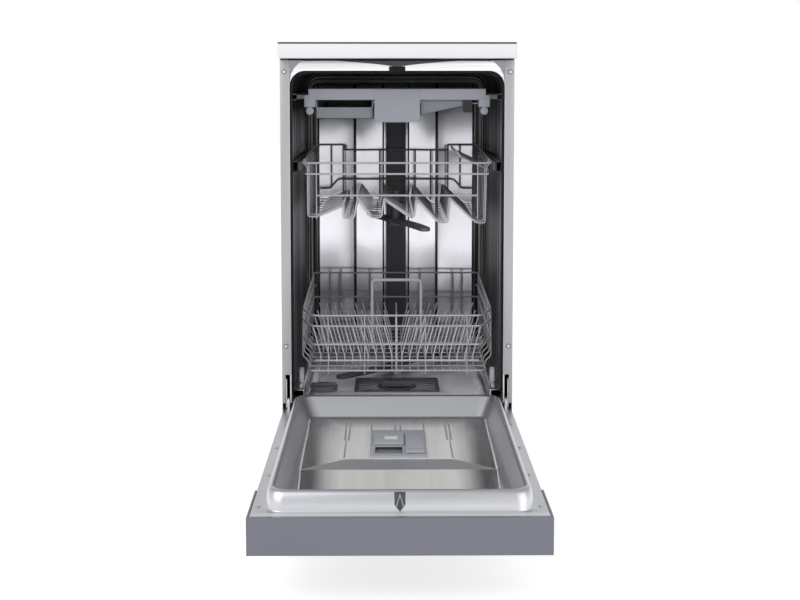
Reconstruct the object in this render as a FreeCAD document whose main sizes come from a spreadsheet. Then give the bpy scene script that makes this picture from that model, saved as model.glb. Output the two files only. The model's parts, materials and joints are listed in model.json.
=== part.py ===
import FreeCAD, Part
import Sketcher
import math
import os

from FreeCAD import Placement, Rotation, Vector

# A slimline free-standing dishwasher with its door open, in millimetres.
# X runs across it, Y from the front to the rear, Z up from the floor.
# Depths are stated from the front face of the cabinet's flanges, and the rest pose has the door flat open.

DIMENSIONS = (
    # Cabinet
    ("body_width", 446, "cabinet over its side panels"),
    ("body_depth", 538, "flange face to the rear edge"),
    ("total_height", 845, "floor to worktop"),
    ("worktop_side", 1, "worktop beyond each side panel"),
    ("worktop_board", 27, "thickness of the board"),
    ("worktop_laminate", 3, "thickness of the top sheet"),
    ("worktop_overhang", 38, "worktop in front of the flanges"),
    ("worktop_corner", 4, "radius of the worktop's upright edges"),
    ("panel_sheet", 1, "side and rear panel sheet"),
    ("panel_bottom", 18, "lower edge of the panels and base"),
    ("flange_width", 17.5, "front flange of a side panel"),
    ("flange_strip", 6.5, "what is left of the flange beside the hinge"),
    ("flange_start", 0, "flange's lower end above the tub floor"),
    ("notch_height", 56, "hinge notch in the flange"),
    ("rear_flange", 18, "rear flange of a side panel"),
    ("rear_cover_recess", 15, "rear cover behind the rear edge"),
    ("rear_cover_drop", 32, "rear cover's edge below the tub floor"),
    ("base_setback", 30, "base tray behind the plinth's front"),
    ("base_wall", 3, "wall of the base tray"),
    ("base_height", 36, "height of the base tray"),
    ("plinth_setback", 52, "plinth behind the flanges"),
    ("plinth_sheet", 2, "plinth thickness"),
    ("plinth_bottom", 12, "lower edge of the plinth"),
    ("plinth_top", 78, "upper edge of the plinth"),
    ("plinth_tab", 16, "width of a plinth fixing tab"),
    ("plinth_tab_place", 150, "plinth tabs from the middle"),
    # Levelling feet
    ("foot_radius", 18, "foot pad"),
    ("foot_pad", 8, "thickness of the foot pad"),
    ("foot_stem_radius", 5, "threaded stem of a foot"),
    ("foot_stem_gap", 2, "stem's top below the base's edge"),
    ("foot_boss_wall", 6, "wall of a foot's boss"),
    ("foot_side", 38, "feet inside the cabinet's sides"),
    ("foot_inset", 32, "feet from the ends of the base"),
    ("running_fit", 0.06, "radial gap of a pin or stem in its bore"),
    ("clearance", 0.4, "gap beside a sliding or turning piece"),
    # Washing chamber
    ("tub_inset", 18, "tub's inner face inside the cabinet's side"),
    ("tub_roof_gap", 23, "tub's roof below the worktop"),
    ("tub_sheet", 1, "tub sheet"),
    ("tub_corner", 30, "inner radius of the tub's upper corners"),
    ("tub_back_gap", 10, "tub's back from the cabinet's rear"),
    ("tub_floor", 150, "upper face of the tub floor"),
    ("floor_sheet", 2, "tub floor sheet"),
    ("floor_front", 18, "front edge of the tub floor"),
    ("floor_lip", 5, "upstand at the floor's front edge"),
    ("ledge_width", 22, "wheel ledge beside the tub wall"),
    ("ledge_height", 19, "wheel ledge above the tub floor"),
    ("frame_inset", 9, "front frame inside the cabinet's side"),
    ("frame_gap", 4, "front frame below the worktop"),
    ("frame_leg", 2.5, "front frame beside the hinge"),
    ("rib_depth", 3, "ribs on the back panel"),
    ("rib_width", 7, "ribs on the back panel"),
    ("rib_inner", 29, "inner pair of ribs from the middle"),
    ("rib_middle", 94, "middle pair of ribs"),
    ("rib_side", 27, "outer pair of ribs from the tub's side"),
    ("rib_start", 26, "ribs above the tub floor"),
    ("rib_end", 24, "ribs below the tub's roof"),
    ("seal_thickness", 4.5, "door seal against the tub wall"),
    ("seal_front", 6, "front of the door seal"),
    ("seal_depth", 12, "depth of the door seal"),
    ("sill_height", 3, "seal along the floor's front lip"),
    ("sill_thickness", 3, "seal along the floor's front lip"),
    ("strike_half", 15.5, "half width of the latch strike"),
    ("strike_gap", 0.5, "latch strike above the tub's roof"),
    ("strike_height", 6.5, "height of the latch strike"),
    ("strike_reach", 5, "strike in front of the flanges"),
    # Water system
    ("column_half", 21, "half width of the spray column"),
    ("column_depth", 20, "spray column in front of the back panel"),
    ("column_gap", 87, "spray column below the tub's roof"),
    ("dock_radius", 13, "nozzle that feeds the upper basket"),
    ("dock_length", 12, "nozzle that feeds the upper basket"),
    ("sump_side", 120, "sump from the tub's side"),
    ("sump_front_inset", 1, "sump behind the flat filter's edge"),
    ("sump_tail", 38, "sump behind the spray arm hub"),
    ("sump_depth", 80, "sump below the tub floor"),
    ("filter_over", 1, "flat filter beyond the sump"),
    ("filter_front", 94, "front edge of the flat filter"),
    ("filter_length", 122, "flat filter from front to rear"),
    ("filter_sheet", 2, "flat filter sheet"),
    ("filter_rest", 6, "border on which the flat filter rests"),
    ("cup_offset", 41, "filter cup behind the flat filter's edge"),
    ("cup_radius", 30, "filter cup"),
    ("cup_depth", 46, "filter cup below the flat filter"),
    ("cup_rim_reach", 4, "filter cup's rim beyond its wall"),
    ("cup_rim", 2, "rim of the filter cup"),
    ("cup_grip_width", 8, "grip bar on the filter cup"),
    ("cup_grip_height", 12, "grip bar on the filter cup"),
    ("hub_forward", 2, "spray arm hub in front of the tub's middle"),
    ("hub_wall", 6, "hub's shoulder round its pin"),
    ("hub_height", 18, "spray arm's shoulder above the tub floor"),
    ("hub_pin_radius", 8, "pin on which a spray arm turns"),
    ("hub_pin_length", 11, "pin on which a spray arm turns"),
    ("lower_arm_gap", 4, "lower arm's tip from the wheel ledge"),
    ("upper_arm_gap", 17, "upper arm's tip from the tub's side"),
    ("arm_width", 30, "width of a spray arm"),
    ("arm_thickness", 8, "thickness of a spray arm"),
    ("arm_collar_wall", 11, "collar round a spray arm's bore"),
    ("arm_collar_roof", 2, "collar's end beyond the pin"),
    ("lower_arm_angle", 228, "direction of the lower arm from +X"),
    ("upper_arm_angle", 288, "direction of the upper arm from +X"),
    ("pump_radius", 34, "circulation pump"),
    ("pump_side", 33, "circulation pump from the cabinet's side"),
    ("pump_forward", 22, "pumps in front of the spray arm hub"),
    ("pump_drop", 45, "axis of the pumps below the tub floor"),
    ("drain_pump_radius", 24, "drain pump"),
    ("drain_pump_length", 70, "drain pump"),
    ("salt_side", 57, "salt container from the tub's side"),
    ("salt_offset", 18, "salt container behind the flat filter's edge"),
    ("softener_half", 48, "half side of the softener"),
    ("softener_depth", 94, "softener below the tub floor"),
    ("salt_neck_radius", 26, "neck of the salt container"),
    ("salt_neck_wall", 6, "wall of the salt container's neck"),
    ("salt_neck_height", 6, "salt container's neck above the tub floor"),
    ("salt_cap_over", 1, "salt cap beyond the neck"),
    ("salt_cap_height", 5, "salt cap"),
    ("salt_grip_height", 4, "grip bar on the salt cap"),
    ("salt_plug_depth", 9, "plug under the salt cap"),
    ("inlet_radius", 13.2, "three-quarter inch inlet spigot"),
    ("inlet_length", 13, "inlet spigot behind the rear cover"),
    ("inlet_side", 63, "inlet from the cabinet's side"),
    ("inlet_height", 86, "axis of the inlet"),
    ("valve_half", 20, "half side of the inlet valve"),
    ("valve_depth", 45, "inlet valve in front of the rear cover"),
    ("drain_radius", 10.5, "drain hose spigot"),
    ("drain_length", 14, "drain spigot behind the rear cover"),
    ("drain_place", 110, "drain spigot from the middle"),
    ("drain_collar_reach", 4.5, "collar round the drain spigot"),
    ("gland_radius", 9, "cable gland"),
    ("gland_collar_reach", 3, "collar round the cable gland"),
    ("gland_place", 60, "cable gland from the middle"),
    ("gland_bore", 4, "bore of the cable gland"),
    ("collar_length", 3, "collars on the rear cover"),
    ("relief_depth", 0.8, "relief behind a hose spigot's end"),
    ("relief_length", 1, "relief behind a hose spigot's end"),
    # Door
    ("pivot_depth", 6, "hinge axis behind the flanges"),
    ("pivot_rise", 1, "hinge axis above the tub floor"),
    ("pivot_radius", 4, "hinge pin"),
    ("door_top_gap", 5, "shut door below the worktop"),
    ("door_below_pivot", 40, "hinge axis to the door's lower edge"),
    ("door_inset", 2, "door inside the cabinet's sides"),
    ("door_inner", 12, "hinge axis to the door's inner flange"),
    ("door_thickness", 56.4, "door's inner flange to its outer face"),
    ("door_sheet", 1, "outer panel and liner sheet"),
    ("panel_return", 22, "outer panel's edge under the console"),
    ("console_side", 1, "console beyond the cabinet's sides"),
    ("console_length", 134, "console along the door"),
    ("console_wall", 3, "console walls"),
    ("console_edge", 7.6, "wall along the door's top edge"),
    ("liner_gap", 0.4, "liner inside the console"),
    ("rim_gap", 6, "liner's rim inside the tub"),
    ("rim_height", 30, "rim above the door's flange"),
    ("rim_draft", 2.5, "lean of the rim's outer sides"),
    ("rim_end_draft", 10, "lean of the rim's outer end"),
    ("rim_corner", 24, "radius of the rim's corners"),
    ("rim_width", 9, "flat top of the rim"),
    ("rim_near", 25, "rim to the door's top edge"),
    ("rim_far", 10, "rim in front of the hinge axis"),
    ("dish_depth", 38, "rim's top to the dish floor"),
    ("dish_draft", 20, "lean of the dish's sides"),
    ("dish_end_draft", 30, "lean of the dish's far wall"),
    ("arm_gap", 3, "hinge arm outside the tub's inner face"),
    ("arm_plate", 5, "thickness of a hinge arm"),
    ("arm_eye_wall", 6, "hinge arm's eye round its pin"),
    ("arm_reach", 70, "hinge arm along the door"),
    ("bracket_gap", 1, "hinge bracket beside a hinge arm"),
    ("bracket_plate", 2, "thickness of a hinge bracket"),
    ("bracket_length", 46, "hinge bracket behind the hinge axis"),
    ("bracket_height", 46, "hinge bracket above the hinge axis"),
    ("latch_half", 8.5, "half width of the latch plate"),
    ("latch_thickness", 2, "latch plate"),
    # Dispenser
    ("dispenser_half", 49, "half width of the dispenser"),
    ("dispenser_far", 148, "far end in front of the flanges"),
    ("dispenser_length", 172, "dispenser along the door"),
    ("dispenser_proud", 5, "dispenser above the dish floor"),
    ("dispenser_depth", 28, "dispenser below the dish floor"),
    ("dispenser_border", 4, "border that rests on the dish floor"),
    ("lid_side", 6, "detergent lid from the dispenser's side"),
    ("lid_right", 10, "right edge of the detergent lid"),
    ("lid_end", 30, "lids from the dispenser's far end"),
    ("lid_length", 76, "length of the detergent lid"),
    ("lid_height", 5, "thickness of the detergent lid"),
    ("lid_travel", 51, "travel of the detergent lid"),
    ("cup_wall", 3, "detergent cup inside the lid's edges"),
    ("cup_floor", 6, "detergent cup's floor"),
    ("lid_gap", 3, "between the two lids"),
    ("rinse_side", 3, "rinse aid lid from the dispenser's side"),
    ("rinse_end", 14, "rinse aid lid from the dispenser's near end"),
    ("rinse_height", 4, "thickness of the rinse aid lid"),
    ("rinse_tab", 20, "grip tab on the rinse aid lid"),
    ("rinse_tab_height", 2, "grip tab on the rinse aid lid"),
    # Console front
    ("pocket_half", 70, "half width of the handle pocket"),
    ("pocket_near", 53, "handle pocket from the top edge"),
    ("pocket_length", 42, "handle pocket along the door"),
    ("pocket_depth", 24, "handle pocket"),
    ("pocket_wall", 3, "handle pocket's wall"),
    ("button_radius", 7, "push button"),
    ("button_proud", 0.8, "button above the console front"),
    ("button_collar", 1.5, "collar that keeps a button in"),
    ("button_stem", 5, "button behind the console wall"),
    ("button_row", 30, "buttons from the top edge"),
    ("button_outer_side", 34, "outer buttons from the console's end"),
    ("button_inner_side", 66, "inner button from the console's end"),
    ("window_left", 40, "display window's left edge"),
    ("window_right", 122, "display window's right edge"),
    ("window_half", 10, "half height of the display window"),
    ("board_left", 34, "control board's left edge"),
    ("board_side", 18, "control board from the console's end"),
    ("board_half", 17, "half height of the control board"),
    ("board_thickness", 1.6, "control board"),
    ("board_standoff", 8, "control board behind the console wall"),
    ("board_rib", 4, "ribs that carry the control board"),
    # Racks
    ("wire", 4, "rack wire"),
    ("thin_wire", 3, "tines and floor wires"),
    ("basket_back_gap", 31, "baskets from the tub's back"),
    ("upper_front_offset", 10, "upper basket's front behind the lower one's"),
    ("upper_side", 18, "upper basket from the tub's side"),
    ("upper_front_height", 68, "front wall of the upper basket"),
    ("upper_second_rise", 44.5, "second front wire above the wall's lower edge"),
    ("upper_drop", 245, "upper basket's front wall below the tub's roof"),
    ("upper_back_height", 85, "rear wall of the upper basket"),
    ("well_left_depth", 44, "left wells below the front wall"),
    ("well_right_depth", 53, "right wells below the front wall"),
    ("ridge_high_drop", 5, "higher ridges below the front wall"),
    ("ridge_low_drop", 17, "lower ridge below the front wall"),
    ("ridge_outer_left", 106, "left outer ridge from the middle"),
    ("well_second", 94, "second well from the middle"),
    ("ridge_second", 78, "second ridge from the middle"),
    ("well_third", 40, "third well from the middle"),
    ("ridge_middle", 26, "half width of the middle ridge"),
    ("well_fourth", 88, "fourth well from the middle"),
    ("ridge_outer_right", 105, "right outer ridge from the middle"),
    ("floor_pitch", 20, "spacing of the wires along a basket floor"),
    ("wall_pitch", 36, "spacing of the wires in a basket wall"),
    ("rail_height", 18, "runner on the upper basket"),
    ("rail_rise", 51, "runner above the front wall's lower edge"),
    ("rail_thickness", 8, "runner on the upper basket"),
    ("guide_web", 2, "guide channel on the tub wall"),
    ("guide_reach", 11, "guide channel's flanges"),
    ("guide_front", 32, "front of the guide channels"),
    ("guide_back_gap", 28, "guide channels from the tub's back"),
    ("pipe_radius", 11, "feed pipe under the upper basket"),
    ("pipe_drop", 39, "feed pipe's axis below the front wall"),
    ("upper_hub_offset", 13, "upper hub behind the lower one"),
    ("upper_hub_drop", 26, "upper arm's shoulder below the feed pipe's axis"),
    ("clip_width", 10, "clips that hang the feed pipe"),
    ("clip_inset", 30, "rear clip from the pipe's end"),
    ("shelf_rod", 3, "radius of the cup shelf's rod"),
    ("shelf_rise", 51, "cup shelf's hinge above the front wall's lower edge"),
    ("shelf_width", 60, "cup shelf from its hinge"),
    ("shelf_angle", 25, "lean of the cup shelf"),
    ("shelf_front_inset", 42, "cup shelf behind the basket's front"),
    ("shelf_rear_inset", 42, "cup shelf before the basket's rear"),
    ("lower_front", 48, "front of the lower basket"),
    ("lower_side", 14, "lower basket from the tub's side"),
    ("lower_rise", 32, "lower basket above the wheel ledges"),
    ("lower_front_height", 114, "front wall of the lower basket"),
    ("lower_second_rise", 90.8, "second front wire above the basket's floor"),
    ("lower_third_rise", 54.5, "third front wire above the basket's floor"),
    ("lower_back_height", 136, "rear wall of the lower basket"),
    ("lower_back_second_rise", 80, "second rear wire above the basket's floor"),
    ("handle_half", 52, "half width of the wire handle"),
    ("handle_rear", 229, "wire handle before the basket's rear"),
    ("handle_height", 154, "wire handle above the basket's floor"),
    ("tine_height", 72, "tine rows above the basket floor"),
    ("tine_side", 31, "tine row from the basket's side"),
    ("tine_pitch", 16, "spacing of the tines"),
    ("tine_first", 77, "front folding row behind the basket's front"),
    ("tine_before_handle", 48, "front fixed row before the handle"),
    ("tine_behind_handle", 37, "rear folding row behind the handle"),
    ("tine_last", 92, "rear fixed row before the basket's rear"),
    ("tine_rod", 2.5, "rod of a folding row"),
    ("wheel_radius", 15, "basket wheel"),
    ("wheel_width", 8, "basket wheel"),
    ("wheel_side", 17.6, "basket wheel's inner face from the tub's side"),
    ("wheel_lift", 0.3, "wheel above its ledge"),
    ("wheel_front_inset", 52, "front wheels behind the basket's front"),
    ("wheel_rear_inset", 67, "rear wheels before the basket's rear"),
    ("axle_radius", 3, "wheel axle"),
    ("axle_bracket", 7, "bracket that holds an axle"),
    ("axle_bracket_wall", 4.5, "axle bracket beyond its axle"),
    # Cutlery tray
    ("tray_front_offset", 8, "tray's front before the lower basket's"),
    ("tray_back_gap", 38, "cutlery tray from the tub's back"),
    ("tray_side", 33, "cutlery tray from the tub's side"),
    ("tray_gap", 34, "cutlery tray below the tub's roof"),
    ("tray_rim_height", 22, "rim of the cutlery tray"),
    ("tray_wall", 3, "walls of the cutlery tray"),
    ("tray_left_depth", 58, "left compartment below the tray's edge"),
    ("tray_right_depth", 46, "right compartment below the tray's edge"),
    ("tray_middle", 46, "inner edge of the compartments"),
    ("tray_pan_side", 14, "compartments from the tray's side"),
    ("tray_handle_half", 44, "half width of the tray's handle"),
    ("tray_handle_height", 65, "tray's handle plate"),
    ("tray_runner_rise", 2, "tray's runner above the lower edge of its rim"),
    ("tray_runner_height", 8, "tray's runner"),
    # Fasteners
    ("screw_radius", 3.2, "screw heads"),
    ("screw_head", 1.5, "height of the screw heads"),
    ("screw_inset", 8, "flange screws from the cabinet's side"),
    ("screw_low_rise", 56, "lower flange screws above the notch"),
    ("screw_high_drop", 25, "upper flange screws below the worktop"),
    ("door_screw_inset", 10, "door screws from the door's side"),
    ("door_screw_first", 120, "first door screws in front of the flanges"),
    ("door_screw_last", 53, "last door screws from the door's top edge"),
    ("door_screw_count", 4, "screws along each side of the door"),
)

SIDES = (("left", -1), ("right", 1))


class Size:
    """A length that carries both its value and its expression in the sheet's cells."""

    def __init__(self, value, text):
        self.value = value
        self.text = text

    def combine(self, other, sign, value, swapped=False):
        first, second = (as_size(other), self) if swapped else (self, as_size(other))
        return Size(value(first.value, second.value), f"({first.text} {sign} {second.text})")

    def __add__(self, other):
        return self.combine(other, "+", lambda a, b: a + b)

    __radd__ = __add__

    def __sub__(self, other):
        return self.combine(other, "-", lambda a, b: a - b)

    def __rsub__(self, other):
        return self.combine(other, "-", lambda a, b: a - b, swapped=True)

    def __mul__(self, other):
        return self.combine(other, "*", lambda a, b: a * b)

    __rmul__ = __mul__

    def __truediv__(self, other):
        return self.combine(other, "/", lambda a, b: a / b)

    def __neg__(self):
        return Size(-self.value, f"(0 - {self.text})")


def as_size(number):
    return number if isinstance(number, Size) else Size(float(number), f"{number}")


class Dimensions:
    """The driving sizes, each one a cell of the sheet with its own alias."""

    def __init__(self, document):
        sheet = document.addObject("Spreadsheet::Sheet", "Dims")
        for row, (name, value, note) in enumerate(DIMENSIONS, start=1):
            sheet.set(f"A{row}", note)
            sheet.set(f"B{row}", str(value))
            sheet.setAlias(f"B{row}", name)
            setattr(self, name, Size(float(value), f"Dims.{name}"))
        document.recompute()


def add_followers(d):
    """Sizes that follow from others by the named gaps above."""
    d.body_half = d.body_width / 2
    d.worktop_underside = d.total_height - d.worktop_laminate - d.worktop_board
    d.worktop_half = d.body_half + d.worktop_side
    d.foot_place_x = d.body_half - d.foot_side
    d.tub_half = d.body_half - d.tub_inset
    d.frame_half = d.body_half - d.frame_inset
    d.inlet_place = d.body_half - d.inlet_side
    d.door_half = d.body_half - d.door_inset
    d.console_half = d.body_half + d.console_side
    d.tub_top = d.worktop_underside - d.tub_roof_gap
    d.frame_top = d.worktop_underside - d.frame_gap
    d.rib_bottom = d.tub_floor + d.rib_start
    d.flange_bottom = d.tub_floor + d.flange_start
    d.rear_cover_top = d.tub_floor - d.rear_cover_drop
    d.ledge_top = d.tub_floor + d.ledge_height
    d.hub_top = d.tub_floor + d.hub_height
    d.salt_neck_top = d.tub_floor + d.salt_neck_height
    d.sump_bottom = d.tub_floor - d.sump_depth
    d.softener_bottom = d.tub_floor - d.softener_depth
    d.pump_height = d.tub_floor - d.pump_drop
    d.pivot_height = d.tub_floor + d.pivot_rise
    d.screw_high = d.worktop_underside - d.screw_high_drop
    d.tub_rear = d.body_depth - d.tub_back_gap
    d.base_front = d.plinth_setback + d.base_setback
    d.sump_front = d.filter_front + d.sump_front_inset
    d.filter_rear = d.filter_front + d.filter_length
    d.cup_place = d.filter_front + d.cup_offset
    d.salt_place_y = d.filter_front + d.salt_offset
    d.upper_front = d.lower_front + d.upper_front_offset
    d.tray_front = d.lower_front - d.tray_front_offset
    d.wheel_front = d.lower_front + d.wheel_front_inset
    d.tine_fold_front = d.lower_front + d.tine_first
    d.dispenser_near = d.dispenser_far + d.dispenser_length
    d.lid_left = d.dispenser_half - d.lid_side
    d.lid_far = d.dispenser_far + d.lid_end
    d.rinse_left = d.lid_right + d.lid_gap
    d.rinse_right = d.dispenser_half - d.rinse_side
    d.cup_rim_radius = d.cup_radius + d.cup_rim_reach
    d.salt_cap_radius = d.salt_neck_radius + d.salt_cap_over
    d.salt_neck_bore = d.salt_neck_radius - d.salt_neck_wall
    d.foot_stem_top = d.panel_bottom + d.base_height - d.foot_stem_gap
    d.foot_boss_radius = d.foot_stem_radius + d.foot_boss_wall
    d.arm_collar_radius = d.hub_pin_radius + d.arm_collar_wall
    d.arm_collar = d.hub_pin_length + d.arm_collar_roof
    d.hub_radius = d.hub_pin_radius + d.hub_wall
    d.drain_collar_radius = d.drain_radius + d.drain_collar_reach
    d.gland_collar_radius = d.gland_radius + d.gland_collar_reach
    d.arm_eye = d.pivot_radius + d.arm_eye_wall
    d.axle_bracket_half = d.axle_radius + d.axle_bracket_wall
    d.rib_outer = d.tub_half - d.rib_side
    d.sump_half = d.tub_half - d.sump_side
    d.lower_arm_half = d.tub_half - d.ledge_width - d.lower_arm_gap
    d.upper_arm_half = d.tub_half - d.upper_arm_gap
    d.salt_place_x = d.tub_half - d.salt_side
    d.rim_half = d.tub_half - d.rim_gap
    d.arm_plate_inner = d.tub_half + d.arm_gap
    d.button_outer = d.console_half - d.button_outer_side
    d.button_inner = d.console_half - d.button_inner_side
    d.board_right = d.console_half - d.board_side
    d.upper_half = d.tub_half - d.upper_side
    d.lower_half = d.tub_half - d.lower_side
    d.wheel_inner = d.tub_half - d.wheel_side
    d.tray_half = d.tub_half - d.tray_side
    d.strike_bottom = d.tub_top + d.strike_gap
    d.rib_top = d.tub_top - d.rib_end
    d.column_top = d.tub_top - d.column_gap
    d.notch_top = d.flange_bottom + d.notch_height
    d.door_above_pivot = d.worktop_underside - d.door_top_gap - d.pivot_height
    d.tray_top = d.tub_top - d.tray_gap
    d.upper_bottom = d.tub_top - d.upper_drop
    d.lower_floor = d.ledge_top + d.lower_rise
    d.basket_rear = d.tub_rear - d.basket_back_gap
    d.tray_rear = d.tub_rear - d.tray_back_gap
    d.guide_rear = d.tub_rear - d.guide_back_gap
    d.hub_place = d.tub_rear / 2 - d.hub_forward
    d.shelf_front = d.upper_front + d.shelf_front_inset
    d.rinse_near = d.dispenser_near - d.rinse_end
    d.filter_half = d.sump_half + d.filter_over
    d.pump_length = d.body_half - d.pump_side - d.sump_half
    d.bracket_inner = d.arm_plate_inner + d.arm_plate + d.bracket_gap
    d.tine_half = d.lower_half - d.tine_side
    d.tray_outer = d.tray_half - d.tray_pan_side
    d.tray_rim = d.tray_top - d.tray_rim_height
    d.tray_left_floor = d.tray_top - d.tray_left_depth
    d.tray_right_floor = d.tray_top - d.tray_right_depth
    d.tray_handle_bottom = d.tray_top - d.tray_handle_height
    d.upper_second = d.upper_bottom + d.upper_second_rise
    d.upper_top = d.upper_bottom + d.upper_front_height
    d.upper_back_top = d.upper_bottom + d.upper_back_height
    d.well_left = d.upper_bottom - d.well_left_depth
    d.well_right = d.upper_bottom - d.well_right_depth
    d.ridge_high = d.upper_bottom - d.ridge_high_drop
    d.ridge_low = d.upper_bottom - d.ridge_low_drop
    d.rail_bottom = d.upper_bottom + d.rail_rise
    d.pipe_height = d.upper_bottom - d.pipe_drop
    d.shelf_height = d.upper_bottom + d.shelf_rise
    d.lower_third = d.lower_floor + d.lower_third_rise
    d.lower_second = d.lower_floor + d.lower_second_rise
    d.lower_top = d.lower_floor + d.lower_front_height
    d.lower_back_second = d.lower_floor + d.lower_back_second_rise
    d.lower_back_top = d.lower_floor + d.lower_back_height
    d.handle_top = d.lower_floor + d.handle_height
    d.screw_low = d.notch_top + d.screw_low_rise
    d.upper_hub_place = d.hub_place + d.upper_hub_offset
    d.sump_rear = d.hub_place + d.sump_tail
    d.pump_place = d.hub_place - d.pump_forward
    d.shelf_rear = d.basket_rear - d.shelf_rear_inset
    d.wheel_rear = d.basket_rear - d.wheel_rear_inset
    d.handle_place = d.basket_rear - d.handle_rear
    d.tine_fixed_rear = d.basket_rear - d.tine_last
    d.door_reach = d.door_above_pivot - d.pivot_depth
    d.door_screw_pitch = (d.door_reach - d.door_screw_first - d.door_screw_last) / (d.door_screw_count - 1)
    d.tray_runner_bottom = d.tray_rim + d.tray_runner_rise
    d.upper_hub_shoulder = d.pipe_height - d.upper_hub_drop
    d.tine_fixed_front = d.handle_place - d.tine_before_handle
    d.tine_fold_rear = d.handle_place + d.tine_behind_handle


DOC = FreeCAD.newDocument("dishwasher")
D = Dimensions(DOC)
add_followers(D)
NODES = []

# The row's origin is under the middle of the open machine, so the flanges stand behind it.
FRONT = (D.door_reach - D.body_depth) / 2


def across(half):
    return (-half, half)


def side_span(sign, inner, outer):
    return (inner, outer) if sign > 0 else (-outer, -inner)


def deep(near, far):
    """Two depths behind the flanges, as row coordinates."""
    return (FRONT + near, FRONT + far)


def bind(item, prop, size):
    item.setExpression(prop, as_size(size).text)


def place(item, x, y, z):
    bind(item, "Placement.Base.x", x)
    bind(item, "Placement.Base.y", y)
    bind(item, "Placement.Base.z", z)


def node(item, label):
    """Registers a finished sub-part under the name of its file."""
    item.Label = label
    NODES.append(item)
    return item


def box(name, x, y, z):
    item = DOC.addObject("Part::Box", name)
    for prop, (low, high) in (("Length", x), ("Width", y), ("Height", z)):
        bind(item, prop, high - low)
    place(item, x[0], y[0], z[0])
    return item


AXIS_TURNS = {
    "x": Rotation(Vector(0, 1, 0), 90),
    "y": Rotation(Vector(1, 0, 0), -90),
    "z": Rotation(),
}


def cylinder(name, axis, start, radius, length):
    item = DOC.addObject("Part::Cylinder", name)
    bind(item, "Radius", radius)
    bind(item, "Height", length)
    item.Placement = Placement(Vector(), AXIS_TURNS[axis])
    place(item, *start)
    return item


def fuse(name, *items):
    item = DOC.addObject("Part::MultiFuse", name)
    item.Shapes = list(items)
    item.Refine = True
    return item


def cut(name, base, *tools):
    item = DOC.addObject("Part::Cut", name)
    item.Base = base
    item.Tool = tools[0] if len(tools) == 1 else fuse(f"{name}_tools", *tools)
    item.Refine = True
    return item


def group(name, *items):
    """Separate solids that share one node."""
    item = DOC.addObject("Part::Compound", name)
    item.Links = list(items)
    return item


def made(name, shape):
    """A sub-part whose shape is worked out from the sheet's values."""
    item = DOC.addObject("Part::Feature", name)
    item.Shape = shape
    return item


def origin_plane(body, role):
    return next(feature for feature in body.Origin.OriginFeatures if feature.Role == role)


def outline(body, role, points):
    """A closed sketch of straight lines, each corner held by its two distances from the origin."""
    sketch = body.newObject("Sketcher::SketchObject", f"{body.Name}_outline")
    sketch.AttachmentSupport = [(origin_plane(body, role), "")]
    sketch.MapMode = "FlatFace"
    corners = [Vector(u.value, v.value, 0) for u, v in points]
    count = len(corners)
    for index in range(count):
        sketch.addGeometry(Part.LineSegment(corners[index], corners[(index + 1) % count]))
    for index in range(count):
        sketch.addConstraint(Sketcher.Constraint("Coincident", index, 2, (index + 1) % count, 1))
    for index, (u, v) in enumerate(points):
        for kind, size in (("DistanceX", u), ("DistanceY", v)):
            number = sketch.addConstraint(Sketcher.Constraint(kind, -1, 1, index, 1, size.value))
            sketch.setExpression(f"Constraints[{number}]", size.text)
    return sketch


def padded(name, role, points, length):
    """A body with one padded outline, along the plane's own normal."""
    body = DOC.addObject("PartDesign::Body", name)
    sketch = outline(body, role, [(as_size(u), as_size(v)) for u, v in points])
    pad = body.newObject("PartDesign::Pad", f"{name}_pad")
    pad.Profile = sketch
    bind(pad, "Length", length)
    DOC.recompute()
    return body


def edges_at(shape, spots, keep):
    """Names of the straight edges that run through the given spots, in the plane of two coordinates."""
    names = []
    for number, edge in enumerate(shape.Edges, start=1):
        middle = edge.CenterOfMass
        spot = [getattr(middle, letter) for letter in keep]
        ends = [vertex.Point for vertex in edge.Vertexes]
        straight = all(abs(getattr(ends[0], letter) - getattr(ends[-1], letter)) < 1e-6 for letter in keep)
        near = any(math.dist(spot, (u.value, v.value)) < 1e-4 for u, v in spots)
        if straight and near:
            names.append(f"Edge{number}")
    return names


def rounded(body, spots, keep, radius):
    """Rounds the edges of a body that pass through the given spots."""
    base = body.Tip
    fillet = body.newObject("PartDesign::Fillet", f"{body.Name}_round")
    fillet.Base = (base, edges_at(base.Shape, spots, keep))
    bind(fillet, "Radius", radius)
    DOC.recompute()
    return body


# Cabinet

BODY_HALF = D.body_half
PANEL_INSIDE = BODY_HALF - D.panel_sheet
WORKTOP_UNDERSIDE = D.worktop_underside
BASE_TOP = D.panel_bottom + D.base_height
REAR_COVER_BACK = D.body_depth - D.rear_cover_recess
REAR_COVER_FRONT = REAR_COVER_BACK - D.panel_sheet
SCREW_X = BODY_HALF - D.screw_inset


def worktop():
    half = D.worktop_half
    low, high = deep(-D.worktop_overhang, D.body_depth)
    corners = [(-half, low), (half, low), (half, high), (-half, high)]
    levels = (
        ("worktop_board", WORKTOP_UNDERSIDE, D.worktop_board),
        ("worktop_laminate", D.total_height - D.worktop_laminate, D.worktop_laminate),
    )
    for label, level, thickness in levels:
        board = padded(label, "XY_Plane", corners, thickness)
        rounded(board, corners[:2], "xy", D.worktop_corner)
        bind(board, "Placement.Base.z", level)
        node(board, label)


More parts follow.
